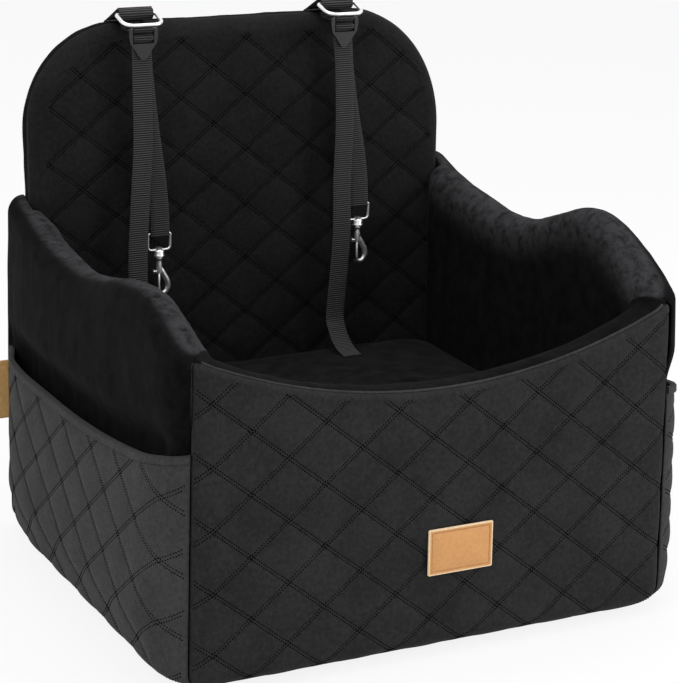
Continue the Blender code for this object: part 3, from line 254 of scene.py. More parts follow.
def skin_point(u, v, inset):
    """A point on the outer skin, where v is the height with the bottom edge rolled flat."""
    if v >= roll_start:
        return wall_point(u, inset, v)
    angle = (roll_start - v) / edge_radius
    radius = edge_radius - inset
    return wall_point(u, edge_radius - radius * math.cos(angle), roll_start - radius * math.sin(angle))


def path_run(from_front):
    """Run along the outline to a place on a side, from its distance behind the front."""
    return side_start_u + from_front - corner_radius


def crest_height(u):
    """Height of the crest: a dipping lip in front, then a hump, a dip and the rise to the back."""
    lip_middle, lip_corner = 0.286, 0.345
    run = abs(u)
    if run <= seam_u:
        return mix(lip_middle, lip_corner, (u / seam_u) ** 2)
    hump, dip, rear = (0.380, 0.355, 0.393) if u < 0 else (0.409, 0.364, 0.402)
    hump_u, dip_u = path_run(0.135), path_run(0.305)
    if run < hump_u:
        return mix(lip_corner, hump, swell((run - seam_u) / (hump_u - seam_u)))
    if run < dip_u:
        share = (run - hump_u) / (dip_u - hump_u)
        return mix(hump, dip, (1 - math.cos(math.pi * share)) / 2)
    return mix(dip, rear, ((run - dip_u) / (rear_u - dip_u)) ** 2)


def crest_roll(u):
    """How high the crest's rounding rises: low along the lip, full along the sides."""
    return mix(0.008, 0.018, ease(abs(u), seam_u, seam_u + corner_radius))


def end_roll(u):
    """How far the rounded rear end of a wall draws in."""
    radius = 0.012
    past = min(max(abs(u) - (rear_u - radius), 0.0), radius)
    return radius - math.sqrt(radius ** 2 - past ** 2)


def mouth_height(u):
    """Height of a pocket's slack mouth."""
    rear, middle, front = 0.217, 0.219, 0.249
    run, low_u = abs(u), path_run(0.300)
    if run < low_u:
        return mix(middle, front, ((low_u - run) / (low_u - seam_u)) ** 2)
    return mix(middle, rear, (run - low_u) / (rear_u - low_u))


pocket_end_u = rear_u - 0.014
pocket_thickness = 0.003
pocket_room = 0.009
pocket_rise = pocket_blend = 0.055
hem_cloth = 0.0012
cloth_gap = 0.0003
recess_fade = 0.045


def pocket_open(u, v):
    """1 where the pocket stands open, 0 along its sewn ends and bottom."""
    ends = ease(abs(u), seam_u, seam_u + pocket_blend)
    ends *= 1 - ease(abs(u), pocket_end_u - pocket_blend, pocket_end_u)
    return ends * ease(v, roll_start, roll_start + pocket_rise)


def side_recess(u, v):
    """How far a side sleeve stands back behind its pocket."""
    if abs(u) > pocket_end_u:
        return 0.0
    mouth = mouth_height(u)
    behind = 1 - ease(v, mouth + 2 * hem_cloth, mouth + recess_fade)
    hem_room = (hem_cloth + cloth_gap) * ease(v, roll_start, roll_start + pocket_rise)
    return (pocket_thickness + cloth_gap + hem_room + pocket_room * pocket_open(u, v)) * behind


def new_piece(name, points, faces, body, slot):
    """A smooth piece of the seat, on the body that it moves with. Its slot argument is not used."""
    mesh = bpy.data.meshes.new(name)
    mesh.from_pydata(points, [], faces)
    mesh.shade_smooth()
    piece = bpy.data.objects.new(name, mesh)
    bpy.context.scene.collection.objects.link(piece)
    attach(piece, body)
    return piece


def weave_grid(name, grid, body, slot):
    """A piece from rows of points with as many points each."""
    count = len(grid[0])
    faces = [(a, a + 1, a + count + 1, a + count)
             for row in range(len(grid) - 1) for a in range(row * count, (row + 1) * count - 1)]
    return new_piece(name, [point for row in grid for point in row], faces, body, slot)


def close_up(piece, sharp=None):
    """Join a piece's seams, close its open ends and turn its faces outwards."""
    made = bmesh.new()
    made.from_mesh(piece.data)
    bmesh.ops.remove_doubles(made, verts=made.verts, dist=1e-6)
    bmesh.ops.holes_fill(made, edges=[edge for edge in made.edges if edge.is_boundary], sides=0)
    bmesh.ops.recalc_face_normals(made, faces=made.faces)
    made.to_mesh(piece.data)
    made.free()
    piece.data.shade_smooth()
    if sharp:
        piece.data.set_sharp_from_angle(angle=math.radians(sharp))
def cap_end(piece, count):
    """Close a skin at its last row of points, with faces from one half of the row across to the other."""
    made = bmesh.new()
    made.from_mesh(piece.data)
    row = list(made.verts)[-count:]
    for k in range(count // 2 - 1):
        made.faces.new((row[k], row[k + 1], row[count - 2 - k], row[count - 1 - k]))
    bmesh.ops.recalc_face_normals(made, faces=made.faces)
    made.to_mesh(piece.data)
    made.free()
    piece.data.shade_smooth()

def rumple(piece, amount_at):
    """Move a piece's points along their normals, in or out by what amount_at gives for each place."""
    moves = [(vertex, vertex.normal * amount_at(vertex.co)) for vertex in piece.data.vertices]
    for vertex, move in moves:
        vertex.co += move


def wave(point, size, seed, stretch=(1.0, 1.0, 1.0)):
    """Smooth noise from about -1 to 1 with bumps of a real size in metres."""
    place = Vector((point[0] / stretch[0], point[1] / stretch[1], point[2] / stretch[2])) / size
    return noise.noise(place + Vector((seed, 2.7 * seed, 5.1 * seed)))


def back_to_cloth(piece, thickness):
    """Give a single skin the thickness of its cloth, on its inner side."""
    step = piece.modifiers.new("cloth", "SOLIDIFY")
    step.thickness = thickness
    step.offset = -1


def make_up(piece, finish, stands_for, cloth=None):
    """Put a padded piece in its solid's place, with its finish and, if it is a single skin, its cloth."""
    if cloth:
        back_to_cloth(piece, cloth)
    dress(piece, finish)
    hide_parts(stands_for)


roll_steps = 16
inner_rows = 42
inner_foot = 0.119
back_rise = 0.5775
back_lean = 0.010
lean_reach = 0.030
ledge_u = path_run(back_front - box_front)


def wall_section(u, rows_below, recess, roll_from=1):
    """Points across one wall: up the outside, over the crest and down the inside to the cushion."""
    drawn = end_roll(u)
    top = crest_height(u) - drawn
    roll = crest_roll(u)
    shoulder = top - roll
    outer = drawn + recess(u, shoulder)
    half = (wall_thickness - outer) / 2
    section = [(drawn + recess(u, v), v) for v in rows_below(u, shoulder)]
    for k in range(roll_from, roll_steps):
        angle = math.pi * k / roll_steps
        section.append((outer + half * (1 - math.cos(angle)), shoulder + roll * math.sin(angle)))
    behind_back = abs(u) > ledge_u
    foot = roll_start if behind_back else inner_foot
    for k in range(inner_rows + 1):
        section.append((wall_thickness, mix(shoulder, foot, k / inner_rows)))
    near = max(1 - abs(abs(u) - ledge_u) / lean_reach, 0.0)
    points = []
    for depth, v in section:
        if behind_back:
            depth = min(depth, rebate_depth)
        leaned = back_lean * v / back_rise * near * ease(depth, 0.5 * rebate_depth, rebate_depth)
        place = u + math.copysign(leaned, u)
        points.append(skin_point(u, v, depth) if v < roll_start else wall_point(place, depth, v))
    return points


def mark_crest(wall, columns, outer, inner):
    """Write how near each point of a wall's grid is to its crest, from its column, as the mask of the painted
    highlight along the crest. Its outer edge is crisp.
    """
    marks = wall.data.attributes.new("crest", "FLOAT", "POINT")
    way = 1 if inner > outer else -1
    for k in range(len(wall.data.vertices)):
        past = (k % columns - outer) * way
        marks.data[k].value = ease(past, 3.5, 6.0) * (1 - ease(past, roll_steps - 2, roll_steps + 5))


def side_rows(u, shoulder):
    """Levels up the outside of a side wall, from under its rolled edge to its shoulder."""
    low_rows, high_rows = 14, 56
    under = sleeve_low + edge_radius * (1 - math.pi / 2)
    low = [mix(under, roll_start, k / low_rows) for k in range(low_rows)]
    return low + [mix(roll_start, shoulder, k / high_rows) for k in range(high_rows + 1)]


for side, word in ((-1, "left"), (1, "right")):
    stations = spread(seam_u, ledge_u, 0.004) + spread(ledge_u + 0.0002, rear_u, 0.003)
    stations = sorted(stations + [rear_u - 0.0006, rear_u - 0.002])
    grid = [wall_section(side * u, side_rows, side_recess) for u in stations]
    if side > 0:
        grid = [row[::-1] for row in grid]
    wall = weave_grid(word + "_wall_plush", grid, "seat", "black_plush")
    count = len(grid[0])
    below = len(side_rows(seam_u, crest_height(seam_u)))
    outer_column = below if side < 0 else count - 1 - below
    mark_crest(wall, count, outer_column, outer_column - side * roll_steps)
    cap_end(wall, count)

    def slack(point):
        """Shallow folds of the loose sleeve that fade at the seams. They stand out from the foam only."""
        free = ease(abs(point.y - box_front), 0.01, 0.06) * ease(point.z, 0.03, 0.10)
        broad = 0.0022 * wave(point, 0.060, 3.0 + side, (1.0, 1.0, 1.3))
        fine = 0.0007 * wave(point, 0.018, 8.0 + side, (1.0, 0.8, 1.4))
        return max(0.0007 + broad + fine, 0.0) * free

    rumple(wall, slack)
    make_up(wall, wall_plush, word + "_wall_cover", 0.0014)


# The base sheet lies under the walls' rolled edges, so it is laid once their outline is known
under_edge, sheet_thickness, cut_edge = 0.021, 0.003, 0.0004
sheet_loops = []
for drawn, z in ((0.001, 0.0), (0.0, cut_edge), (0.0, sheet_thickness - cut_edge), (0.001, sheet_thickness)):
    loop = []
    for u in spread(-rear_u, rear_u, 0.006):
        point = wall_point(u, under_edge + drawn, 0.0)
        loop.append(Vector((point.x, min(point.y, box_rear - under_edge - drawn), z)))
    sheet_loops.append(loop + loop[:1])
sheet = weave_grid("dotted_sheet", sheet_loops, "seat", "anti_slip_cloth")
close_up(sheet, 40)
dress(sheet, sheet_finish)
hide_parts("base_sheet")

lip_roll_from = 4
lip_clearance = 0.0009
grid = [wall_section(u, lambda u, shoulder: [], lambda u, v: lip_clearance, lip_roll_from)[::-1]
        for u in spread(-seam_u, seam_u, 0.004)]
front_wall = weave_grid("front_wall_plush", grid, "seat", "black_plush")
rumple(front_wall, lambda point: max(0.0004 + 0.0010 * wave(point, 0.050, 5.0, (1.6, 0.7, 1.0))
                                     + 0.0005 * wave(point, 0.015, 6.0), 0.0) * ease(point.z, 0.13, 0.2))
make_up(front_wall, wall_plush, "front_wall_cover", 0.0010)


# Quilted panels: brushed velvet laid on wadding and sewn through in crossing double rows, on the front
# wall, on the back and on both pockets. The wadding puffs up between the rows.

# Velvet, woven and brushed: soft and matt, with a fine mottle where the nap lies this way and that
def velvet_finish(name, dark, pale, sheen):
    thread, nap, hand_stroke = 0.0011, 0.0045, 0.050
    finish, tree = new_finish(name)
    fine = grain_of(tree, nap, 5.0, rough=0.72)
    broad = grain_of(tree, hand_stroke, 3.0)
    brushed = add(tree, "ShaderNodeMath", {"operation": "MULTIPLY_ADD"}, _0=broad, _1=0.45, _2=-0.225)
    share = add(tree, "ShaderNodeMath", {"operation": "ADD"}, _0=brushed, _1=fine)
    colour = add(tree, "ShaderNodeValToRGB", stops=((0.36, dark), (0.66, pale)), _0=share)
    surface(tree, colour, [(grain_of(tree, thread, 2.0), 0.0004, 0.5), (grain_of(tree, 4 * thread, 3.0), 0.0005, 0.4)],
            roughness=0.92, sheen_weight=sheen, sheen_roughness=0.4, sheen_tint=linear("#b4b4b6"),
            specular_ior_level=0.08)
    return finish


diamond_width = 0.0795
diamond_height = 0.064
row_pitch = diamond_width * diamond_height / math.hypot(diamond_width, diamond_height)
diamond_side = math.hypot(diamond_width, diamond_height) / 2
double_row = 0.0016
groove = 0.0055
pucker_length, pucker_reach, pucker_rise, pucker_depth = 0.0042, 0.007, 0.003, 0.0003
swing_size, swing_depth = 0.03, 0.0004


def puff(u, z, origin, sink):
    """Depth of the quilted face under its crowns: grooves at the double rows, with small puckers."""
    across = (u - origin[0]) / diamond_width
    up = (z - origin[1]) / diamond_height
    first, second = across + up, across - up
    gaps = [abs(row - round(row)) * row_pitch for row in (first, second)]
    rise = 1.0
    for gap in gaps:
        rise *= 1 - math.exp(-max(gap - double_row, 0.0) / groove)
    pucker = 0.0
    for gap, along in ((gaps[0], second), (gaps[1], first)):
        fade = math.exp(-gap / pucker_reach) * min(gap / pucker_rise, 1.0)
        pucker += fade * noise.noise(Vector((along * diamond_side / pucker_length, gap / 0.02, 7.3)))
    swing = noise.noise(Vector((u / swing_size, z / swing_size, 1.7)))
    return sink * (1 - rise) - pucker_depth * pucker - swing_depth * swing * rise


def join_rings(shells):
    """Points and faces of shells, each a list of rings of points, looped or with both ends closed."""
    points, faces = [], []
    for rings, looped in shells:
        first, count, total = len(points), len(rings[0]), len(rings)
        points += [point for ring in rings for point in ring]
        for i in range(total if looped else total - 1):
            here, after = first + i * count, first + (i + 1) % total * count
            for j in range(count):
                following = (j + 1) % count
                faces.append([here + j, here + following, after + following, after + j])
        if not looped:
            faces.append([first + k for k in range(count)][::-1])
            faces.append([first + (total - 1) * count + k for k in range(count)])
    return points, faces


def thread_row(points, radius, length, gap):
    """Stitches along a polyline: small pieces of thread, each a five-sided bead with narrow ends."""
    angles = [math.tau * k / 5 for k in range(5)]
    beads = []
    run = 0.0
    due = gap / 2
    for before, after in zip(points, points[1:]):
        step = (after - before).length
        if step < 1e-9:
            continue
        along = (after - before) / step
        side = along.orthogonal().normalized()
        third = along.cross(side)
        while due <= run + step:
            centre = before.lerp(after, (due - run) / step)
            beads.append([[centre + along * length * place + (side * math.cos(a) + third * math.sin(a)) * radius * size
                           for a in angles] for place, size in ((-0.5, 0.35), (-0.3, 1.0), (0.3, 1.0), (0.5, 0.35))])
            due += length + gap
        run += step
    return beads


def sew(name, rows, stitch, slot, finish):
    """One piece that holds every stitch of some rows. A stitch is its radius, its length and its gap."""
    beads = [(bead, False) for points in rows for bead in thread_row(points, *stitch)]
    dress(new_piece(name, *join_rings(beads), "seat", slot), finish)


def quilt_rows(box, origin, inside, place):
    """Both rows of every double stitch line in a panel, cut to the places that are inside it."""
    low_u, high_u, low_z, high_z = box
    rows = []
    for lean in (1, -1):
        ends = [((u - origin[0]) / diamond_width + lean * (z - origin[1]) / diamond_height)
                for u in (low_u, high_u) for z in (low_z, high_z)]
        for number in range(math.ceil(min(ends)), math.floor(max(ends)) + 1):
            for twin in (-1, 1):
                offset = twin * double_row / row_pitch
                run = []
                for z in spread(low_z, high_z, 0.0016):
                    u = origin[0] + diamond_width * (number + offset - lean * (z - origin[1]) / diamond_height)
                    if low_u < u < high_u and inside(u, z):
                        run.append(place(u, z))
                    elif run:
                        rows.append(run)
                        run = []
                if run:
                    rows.append(run)
    return rows


# Polyester sewing thread, twisted and drawn into the nap: black and dull, and painted darker than black thread so that
# each stitch also carries the painted shade of its stitch hole as a dark dot
thread_finish, tree = new_finish("twisted_black_thread")
colour = add(tree, "ShaderNodeValToRGB", stops=((0.35, "#010101"), (0.65, "#060606")), _0=grain_of(tree, 0.0008, 2.0))
surface(tree, colour, roughness=0.95, specular_ior_level=0.02)

front_velvet = velvet_finish("brushed_charcoal_velvet", "#222222", "#2e2e2e", 0.05)
quilt_origin = (-0.0127, 0.1733)
quilt_sink = 0.0020
panel_cloth = 0.0012
seam_fade = 0.014
seam_tuck, tuck_run = 0.0026, 0.010
face_step = 0.0022
stitch = (0.00080, 0.0018, 0.0013)
stitch_lift = -0.00015


def front_top(u):
    """The panel goes on over the outer part of the crest, up to its bound edge."""
    return crest_height(u) - 0.2 * crest_roll(u)


def front_inset(u, v):
    """Depth of the panel's face: quilted, flat along its edges, and tucked in at the corner seams."""
    free = ease(min(seam_u - abs(u), (v - under_v) * 1.5), 0.0, seam_fade) * ease(front_top(u) - v, 0.002, 0.012)
    tucked = seam_tuck * (1 - ease(seam_u - abs(u), 0.0, tuck_run))
    return tucked + puff(u, v, quilt_origin, quilt_sink) * free


def front_face(u, v, lift=0.0):
    """A place on the panel's face, which goes on over the rounding of the crest."""
    roll = crest_roll(u)
    shoulder = crest_height(u) - roll
    inset = front_inset(u, v) - lift
    if v <= shoulder:
        return skin_point(u, v, inset)
    angle = math.asin(min((v - shoulder) / roll, 1.0))
    depth = wall_thickness / 2 * (1 - math.cos(angle)) + inset * math.cos(angle)
    return wall_point(u, depth, v - inset * math.sin(angle))


high_rows = 150
grid = []
for u in spread(-seam_u, seam_u, face_step):
    levels = spread(under_v, roll_start, 0.003)[:-1]
    levels += [mix(roll_start, front_top(u), k / high_rows) for k in range(high_rows + 1)]
    grid.append([front_face(u, v) for v in levels][::-1])
front_panel = weave_grid("front_quilt", grid, "seat", "charcoal_velvet")
make_up(front_panel, front_velvet, "front_quilt_panel", panel_cloth)
rows = quilt_rows((-seam_u, seam_u, under_v + 0.010, 0.345), quilt_origin,
                  lambda u, z: z < front_top(u) - 0.006 and abs(u) < seam_u - 0.003,
                  lambda u, z: front_face(u, z, stitch_lift))
sew("front_quilt_stitches", rows, stitch, "charcoal_velvet", thread_finish)

binding_lift, binding_half, binding_rise, binding_sides = 0.0004, 0.0017, 0.0009, 12
grid = []
for u in spread(-seam_u, seam_u, 0.003):
    edge = front_face(u, front_top(u), binding_lift)
    slope = (edge - front_face(u, front_top(u) - 0.001, binding_lift)).normalized()
    out = Vector((0, -slope.z, slope.y))
    angles = [math.tau * k / binding_sides for k in range(binding_sides + 1)]
    grid.append([edge + slope * (binding_half * math.cos(a)) + out * (binding_rise * math.sin(a)) for a in angles])
binding = weave_grid("front_panel_binding", grid, "seat", "charcoal_velvet")
# The binding is the panel's velvet, painted paler as a painted highlight along the lip
dress(binding, velvet_finish("charcoal_velvet_painted_highlight", "#2b2b2b", "#3b3b3b", 0.06))


# Pockets: a quilted panel on each side, sewn in along its bottom and both ends, with a strip of the
# same velvet folded over the slack mouth.

side_velvet = velvet_finish("brushed_grey_velvet", "#333333", "#404040", 0.08)
pocket_fullness = 0.007
pocket_sink = 0.0014
hem_height = 0.0065


def pocket_point(u, v, inset):
    """A place in a pocket's cloth, which stands out where the pocket is open."""
    return skin_point(u, v, inset - pocket_fullness * pocket_open(u, v))


def pocket_inset(u, v):
    """Depth of a pocket's face: quilted, and flat along its seams and under its hem."""
    edge = min(abs(u) - seam_u, pocket_end_u - abs(u), (v - under_v) * 1.5)
    depth = mix(0.0008, puff(u, v, quilt_origin, pocket_sink), ease(edge, 0.0, seam_fade))
    return mix(hem_cloth, depth, ease(mouth_height(u) - v, hem_height, hem_height + seam_fade))


def inside_pocket(u, z):
    """Whether a stitch may lie at a place on a pocket."""
    return z < mouth_height(u) - hem_height - 0.001 and seam_u + 0.003 < abs(u) < pocket_end_u - 0.003


def hem_section(u):
    """The strip folded over the mouth: down the outside of the pocket's cloth and down its inside."""
    mouth = mouth_height(u) + cloth_gap
    low = mouth - hem_height
    outer, inner = hem_cloth / 2, pocket_thickness + cloth_gap
    section = [(low, outer), (low, outer - hem_cloth * 0.8)]
    section += [(mix(low, mouth, share), outer - hem_cloth) for share in (0.12, 0.35, 0.6, 0.85)]
    middle, half = mix(outer - hem_cloth, inner + hem_cloth, 0.5), (inner - outer) / 2 + hem_cloth
    for k in range(7):
        angle = math.pi * k / 6
        section.append((mouth + hem_cloth * math.sin(angle), middle - half * math.cos(angle)))
    section += [(mix(mouth, low, share), inner + hem_cloth) for share in (0.3, 0.7, 1.0)]
    section += [(low, inner), (mouth, inner), (mouth, outer), (low, outer)]
    return [pocket_point(u, v, inset) for v, inset in section]


for side, word in ((-1, "left"), (1, "right")):
    grid = []
    for run in spread(seam_u, pocket_end_u, face_step):
        u = side * run
        levels = spread(under_v, roll_start, 0.003)[:-1]
        levels += [mix(roll_start, mouth_height(u), k / 96) for k in range(97)]
        grid.append([pocket_point(u, v, pocket_inset(u, v)) for v in levels])
    pocket = weave_grid(word + "_pocket_quilt", grid[::-side], "seat", "charcoal_velvet")
    make_up(pocket, side_velvet, word + "_pocket", panel_cloth)
    bounds = sorted((side * seam_u, side * pocket_end_u))
    rows = quilt_rows((*bounds, under_v + 0.010, 0.262), quilt_origin, inside_pocket,
                      lambda u, z: pocket_point(u, z, pocket_inset(u, z) - stitch_lift))
    sew(word + "_pocket_stitches", rows, stitch, "charcoal_velvet", thread_finish)

    grid = [hem_section(side * run) for run in spread(seam_u, pocket_end_u, 0.003)]
    hem = weave_grid(word + "_pocket_binding", grid[::-side], "seat", "charcoal_velvet")
    make_up(hem, side_velvet, word + "_pocket_hem")


# Back: a tall foam board in a plush cover with a rounded top, that stands on the ground behind the base.
# Its quilted face of velvet goes over the rounded edge and meets the plush there.

back_half = 0.257
back_top = back_rise
back_rear = 0.258
back_radius = 0.020
back_foot = 0.0034
left_corner, right_corner = (0.110, 0.110), (0.120, 0.142)


def lean(z):
    """How far the back leans to the rear at a height."""
    return back_lean * z / back_top


def back_outline(inset, step):
    """The back's outline drawn in by inset, from its lower left corner round to the lower right one."""
    count = 26
    arcs = []
    for side, (width, height) in ((-1, left_corner), (1, right_corner)):
        angles = [math.pi / 2 * k / count for k in range(count + 1)]
        arcs.append([(side * (back_half - width + (width - inset) * math.cos(angle)),
                      back_top - height + (height - inset) * math.sin(angle)) for angle in angles])
    left, right = arcs[0], arcs[1][::-1]
    rise = int((left[0][1] - back_foot) / step)
    points = [(left[0][0], mix(back_foot, left[0][1], k / rise)) for k in range(rise)] + left
    top = int((right[0][0] - left[-1][0]) / step)
    points += [(mix(left[-1][0], right[0][0], k / top), left[-1][1]) for k in range(1, top)] + right
    return points + [(right[-1][0], mix(right[-1][1], back_foot, k / rise)) for k in range(1, rise + 1)]


def edge_fall(share):
    """How far a rounded edge falls back, from 1 at the outline to 0 where the face is flat."""
    return 1 - math.sqrt(max(1 - (1 - share) ** 2, 0.0))


flat_inset = 0.105
stations = [(0.0006, back_front + back_radius * 0.8)]
stations += [(0.0, mix(back_front + back_radius, back_rear - back_radius, share)) for share in (0.0, 0.5, 1.0)]
stations += [(back_radius * share, back_rear - back_radius * edge_fall(share))
             for share in (0.01, 0.03, 0.07, 0.12, 0.18, 0.25, 0.42, 0.6, 1.0)]
stations += [(mix(back_radius, flat_inset, share), back_rear) for share in (0.1, 0.3, 0.5, 0.7, 0.85, 1.0)]
grid = [[Vector((x, y + lean(z), z)) for x, z in back_outline(inset, 0.006)] for inset, y in stations]
back_cover = weave_grid("back_plush", grid, "seat", "black_plush")
cap_end(back_cover, len(grid[0]))
rumple(back_cover, lambda point: ease(point.y, 0.240, 0.250) * max(
    0.0006 + 0.0016 * wave(point, 0.050, 11.0) + 0.0006 * wave(point, 0.016, 12.0), 0.0))
make_up(back_cover, wall_plush, "back_cover")

back_velvet = velvet_finish("brushed_black_velvet", "#161616", "#212121", 0.05)
back_origin = (0.0, 0.3000)
back_sink = 0.0017
face_low = 0.130
face_rim = 0.024
edge_x = back_half - 0.0001


def back_arc_at(x):
    """The rounded upper corner over or beside a place: its width, height and share across it."""
    width, height = left_corner if x < 0 else right_corner
    return width, height, min(max((abs(x) - (back_half - width)) / width, 0.0), 1.0)


def back_height_at(x):
    """Height of the back's outline above a place across its width."""
    width, height, share = back_arc_at(x)
    return back_top - height + height * math.sqrt(1 - share * share)


def back_margin(x, z):
    """Distance of a place from the back's outline."""
    width, height, share = back_arc_at(x)
    above = back_height_at(x) - z
    rise = min(max((z - (back_top - height)) / height, 0.0), 1.0)
    beside = back_half - width + width * math.sqrt(1 - rise * rise) - abs(x)
    if above <= 0 or beside <= 0:
        return 0.0
    return above * beside / math.hypot(above, beside)


def back_face(x, z, lift=0.0):
    """A place on the back's quilted face, which falls back over the rounded edge."""
    margin = back_margin(x, z)
    fall = back_radius * edge_fall(min(margin / back_radius, 1.0))
    puffed = puff(x, z, back_origin, back_sink) * ease(margin, 0.010, 0.034)
    return Vector((x, back_front + lean(z) + fall + puffed - lift, z))


columns = spread(-edge_x, -edge_x + face_rim, 0.0008)
columns += spread(-edge_x + face_rim + 0.002, edge_x - face_rim - 0.002, face_step)
columns += spread(edge_x - face_rim, edge_x, 0.0008)
grid = []
for x in columns:
    top = back_height_at(x) - 0.0001
    levels = [mix(face_low, top - face_rim, k / 180) for k in range(180)]
    levels += [mix(top - face_rim, top, math.sin(math.pi / 2 * k / 24)) for k in range(25)]
    grid.append([back_face(x, z) for z in levels][::-1])
back_panel = weave_grid("back_quilt", grid, "seat", "charcoal_velvet")
make_up(back_panel, back_velvet, "back_quilt_panel", panel_cloth)
rows = quilt_rows((-edge_x, edge_x, 0.170, 0.565), back_origin,
                  lambda x, z: back_margin(x, z) > 0.016, lambda x, z: back_face(x, z, stitch_lift))
sew("back_quilt_stitches", rows, stitch, "charcoal_velvet", thread_finish)


# Seat cushion: loose foam in a plush cover that closes with a zip at its rear edge. It lies in the
# well on the cloth floor, crowned, with its sides drawn in.

cushion_plush = plush_finish("brushed_black_plush_seat", "#0d0d0d", "#1b1b1b", "#1b1b1b", 0.06)
dress(nodes["cloth_floor"], cushion_plush)
well_half = 0.2407
well_front, well_rear = -0.2217, 0.2137
well_clearance = 0.0006
cushion_low = 0.1196
cushion_edge = 0.183
cushion_crown = 0.0105


def rounded(half_x, half_y, radius, arc_steps, side_steps):
    """A rounded rectangle's outline about the origin, with steps along each corner and along each side."""
    corners = []
    for quarter, (side_x, side_y) in enumerate(((1, 1), (-1, 1), (-1, -1), (1, -1))):
        angles = [math.pi / 2 * (quarter + k / arc_steps) for k in range(arc_steps + 1)]
        corners.append([(side_x * (half_x - radius) + radius * math.cos(angle),
                         side_y * (half_y - radius) + radius * math.sin(angle)) for angle in angles])
    points = []
    for corner, after in zip(corners, corners[1:] + corners[:1]):
        points += corner + [(mix(corner[-1][0], after[0][0], k / side_steps),
                             mix(corner[-1][1], after[0][1], k / side_steps)) for k in range(1, side_steps)]
    return points


profile = [(0.020, cushion_low), (0.008, cushion_low + 0.003), (0.003, cushion_low + 0.010), (0.002, 0.150),
           (0.003, 0.168), (0.007, 0.177), (0.014, cushion_edge)]
profile += [(mix(0.014, 0.200, share), cushion_edge + cushion_crown * math.sin(math.pi / 2 * share))
            for share in (0.08, 0.18, 0.3, 0.45, 0.6, 0.75, 0.9, 1.0)]
middle, half_depth = (well_rear + well_front) / 2, (well_rear - well_front) / 2
grid = []
for inset, z in profile:
    outline = rounded(well_half - inset, half_depth - inset, max(0.030 - inset * 0.3, 0.006), 8, 14)
    grid.append([Vector((x, y + middle, z)) for x, y in outline + outline[:1]])
cushion = weave_grid("seat_cushion_plush", grid, "seat", "black_plush")
close_up(cushion)


def apply_steps(piece):
    """Turn a piece's modifiers into its mesh."""
    graph = bpy.context.evaluated_depsgraph_get()
    made = bpy.data.meshes.new_from_object(piece.evaluated_get(graph))
    piece.modifiers.clear()
    piece.data = made


remesh = cushion.modifiers.new("remesh", "REMESH")
remesh.mode = "VOXEL"
remesh.voxel_size = 0.006
remesh.use_smooth_shade = True
bpy.context.view_layer.update()
apply_steps(cushion)
blow_steps, furthest, kept_share = 20, 0.006, 0.8
start = [vertex.co.copy() for vertex in cushion.data.vertices]
cloth = cushion.modifiers.new("cloth", "CLOTH")
cloth.settings.quality = 5
cloth.settings.mass = 0.2
cloth.settings.use_pressure = True
cloth.settings.uniform_pressure_force = 4.0
cloth.settings.tension_stiffness = 12
cloth.settings.compression_stiffness = 6
cloth.settings.effector_weights.gravity = 0
cloth.point_cache.frame_start = 1
cloth.point_cache.frame_end = blow_steps
for step in range(1, blow_steps + 1):
    bpy.context.scene.frame_set(step)
apply_steps(cushion)
for vertex, home in zip(cushion.data.vertices, start):
    move = vertex.co - home
    if move.length > furthest:
        move *= furthest / move.length
    vertex.co = home + move * kept_share
bpy.context.scene.frame_set(1)
for vertex in cushion.data.vertices:
    vertex.co.x = min(max(vertex.co.x, -well_half + well_clearance), well_half - well_clearance)
    vertex.co.y = min(max(vertex.co.y, well_front + well_clearance), well_rear - well_clearance)
    vertex.co.z = max(vertex.co.z, cushion_low)
finer = cushion.modifiers.new("finer", "SUBSURF")
finer.levels = 1
finer.render_levels = 1
apply_steps(cushion)


def cushion_folds(point):
    """Shallow folds on the cushion's top. They stand out from the foam only."""
    broad = 0.0022 * wave(point, 0.060, 21.0, (1.5, 1.0, 1.0))
    fine = 0.0009 * wave(point, 0.020, 22.0, (1.5, 0.9, 1.0))
    return ease(point.z, 0.160, 0.186) * max(0.0004 + broad + fine, 0.0)


rumple(cushion, cushion_folds)
cushion.data.shade_smooth()
make_up(cushion, cushion_plush, "seat_cushion_cover")

# Nylon coil zip, moulded and woven into black tape: dull tape with fine shiny teeth
zip_finish, tree = new_finish("black_nylon_zip")
teeth = grain_of(tree, 0.0012, 1.0, (1.0, 4.0, 4.0))
colour = add(tree, "ShaderNodeValToRGB", stops=((0.35, "#0d0d0d"), (0.65, "#232323")), _0=teeth)
surface(tree, colour, [(teeth, 0.0005, 0.8)], roughness=0.55)
dress(nodes["cushion_zip"], zip_finish)


# Patch: a bare rectangle of tan leatherette with a pale cut edge, sewn to the front panel.

# Leatherette, pressed with a fine grain: warm tan with a soft shine, and small creases in the light
leather_finish, tree = new_finish("pressed_tan_leatherette")
leather_grain = 0.0012
where = add(tree, "ShaderNodeTexCoord", output="Object")
pores = add(tree, "ShaderNodeTexVoronoi", {"feature": "DISTANCE_TO_EDGE"}, output="Distance", vector=where,
            scale=1 / leather_grain)
colour = add(tree, "ShaderNodeValToRGB", stops=((0.35, "#c88f56"), (0.65, "#cf975e")), _0=grain_of(tree, 0.004, 5.0))
surface(tree, colour, [(pores, 0.0002, 0.5)], roughness=0.55, specular_ior_level=0.4)

# Leatherette, cut through: the pale core that shows along the edge
edge_finish, tree = new_finish("cut_leatherette_edge")
colour = add(tree, "ShaderNodeValToRGB", stops=((0.35, "#e6c8a2"), (0.65, "#f0d8b6")), _0=grain_of(tree, 0.002, 3.0))
surface(tree, colour, roughness=0.8)

# Polyester thread, twisted, tan: a shade darker than the leatherette
tan_thread, tree = new_finish("twisted_tan_thread")
colour = add(tree, "ShaderNodeValToRGB", stops=((0.35, "#8a5a2c"), (0.65, "#a06c38")), _0=grain_of(tree, 0.0008, 2.0))
surface(tree, colour, roughness=0.6)

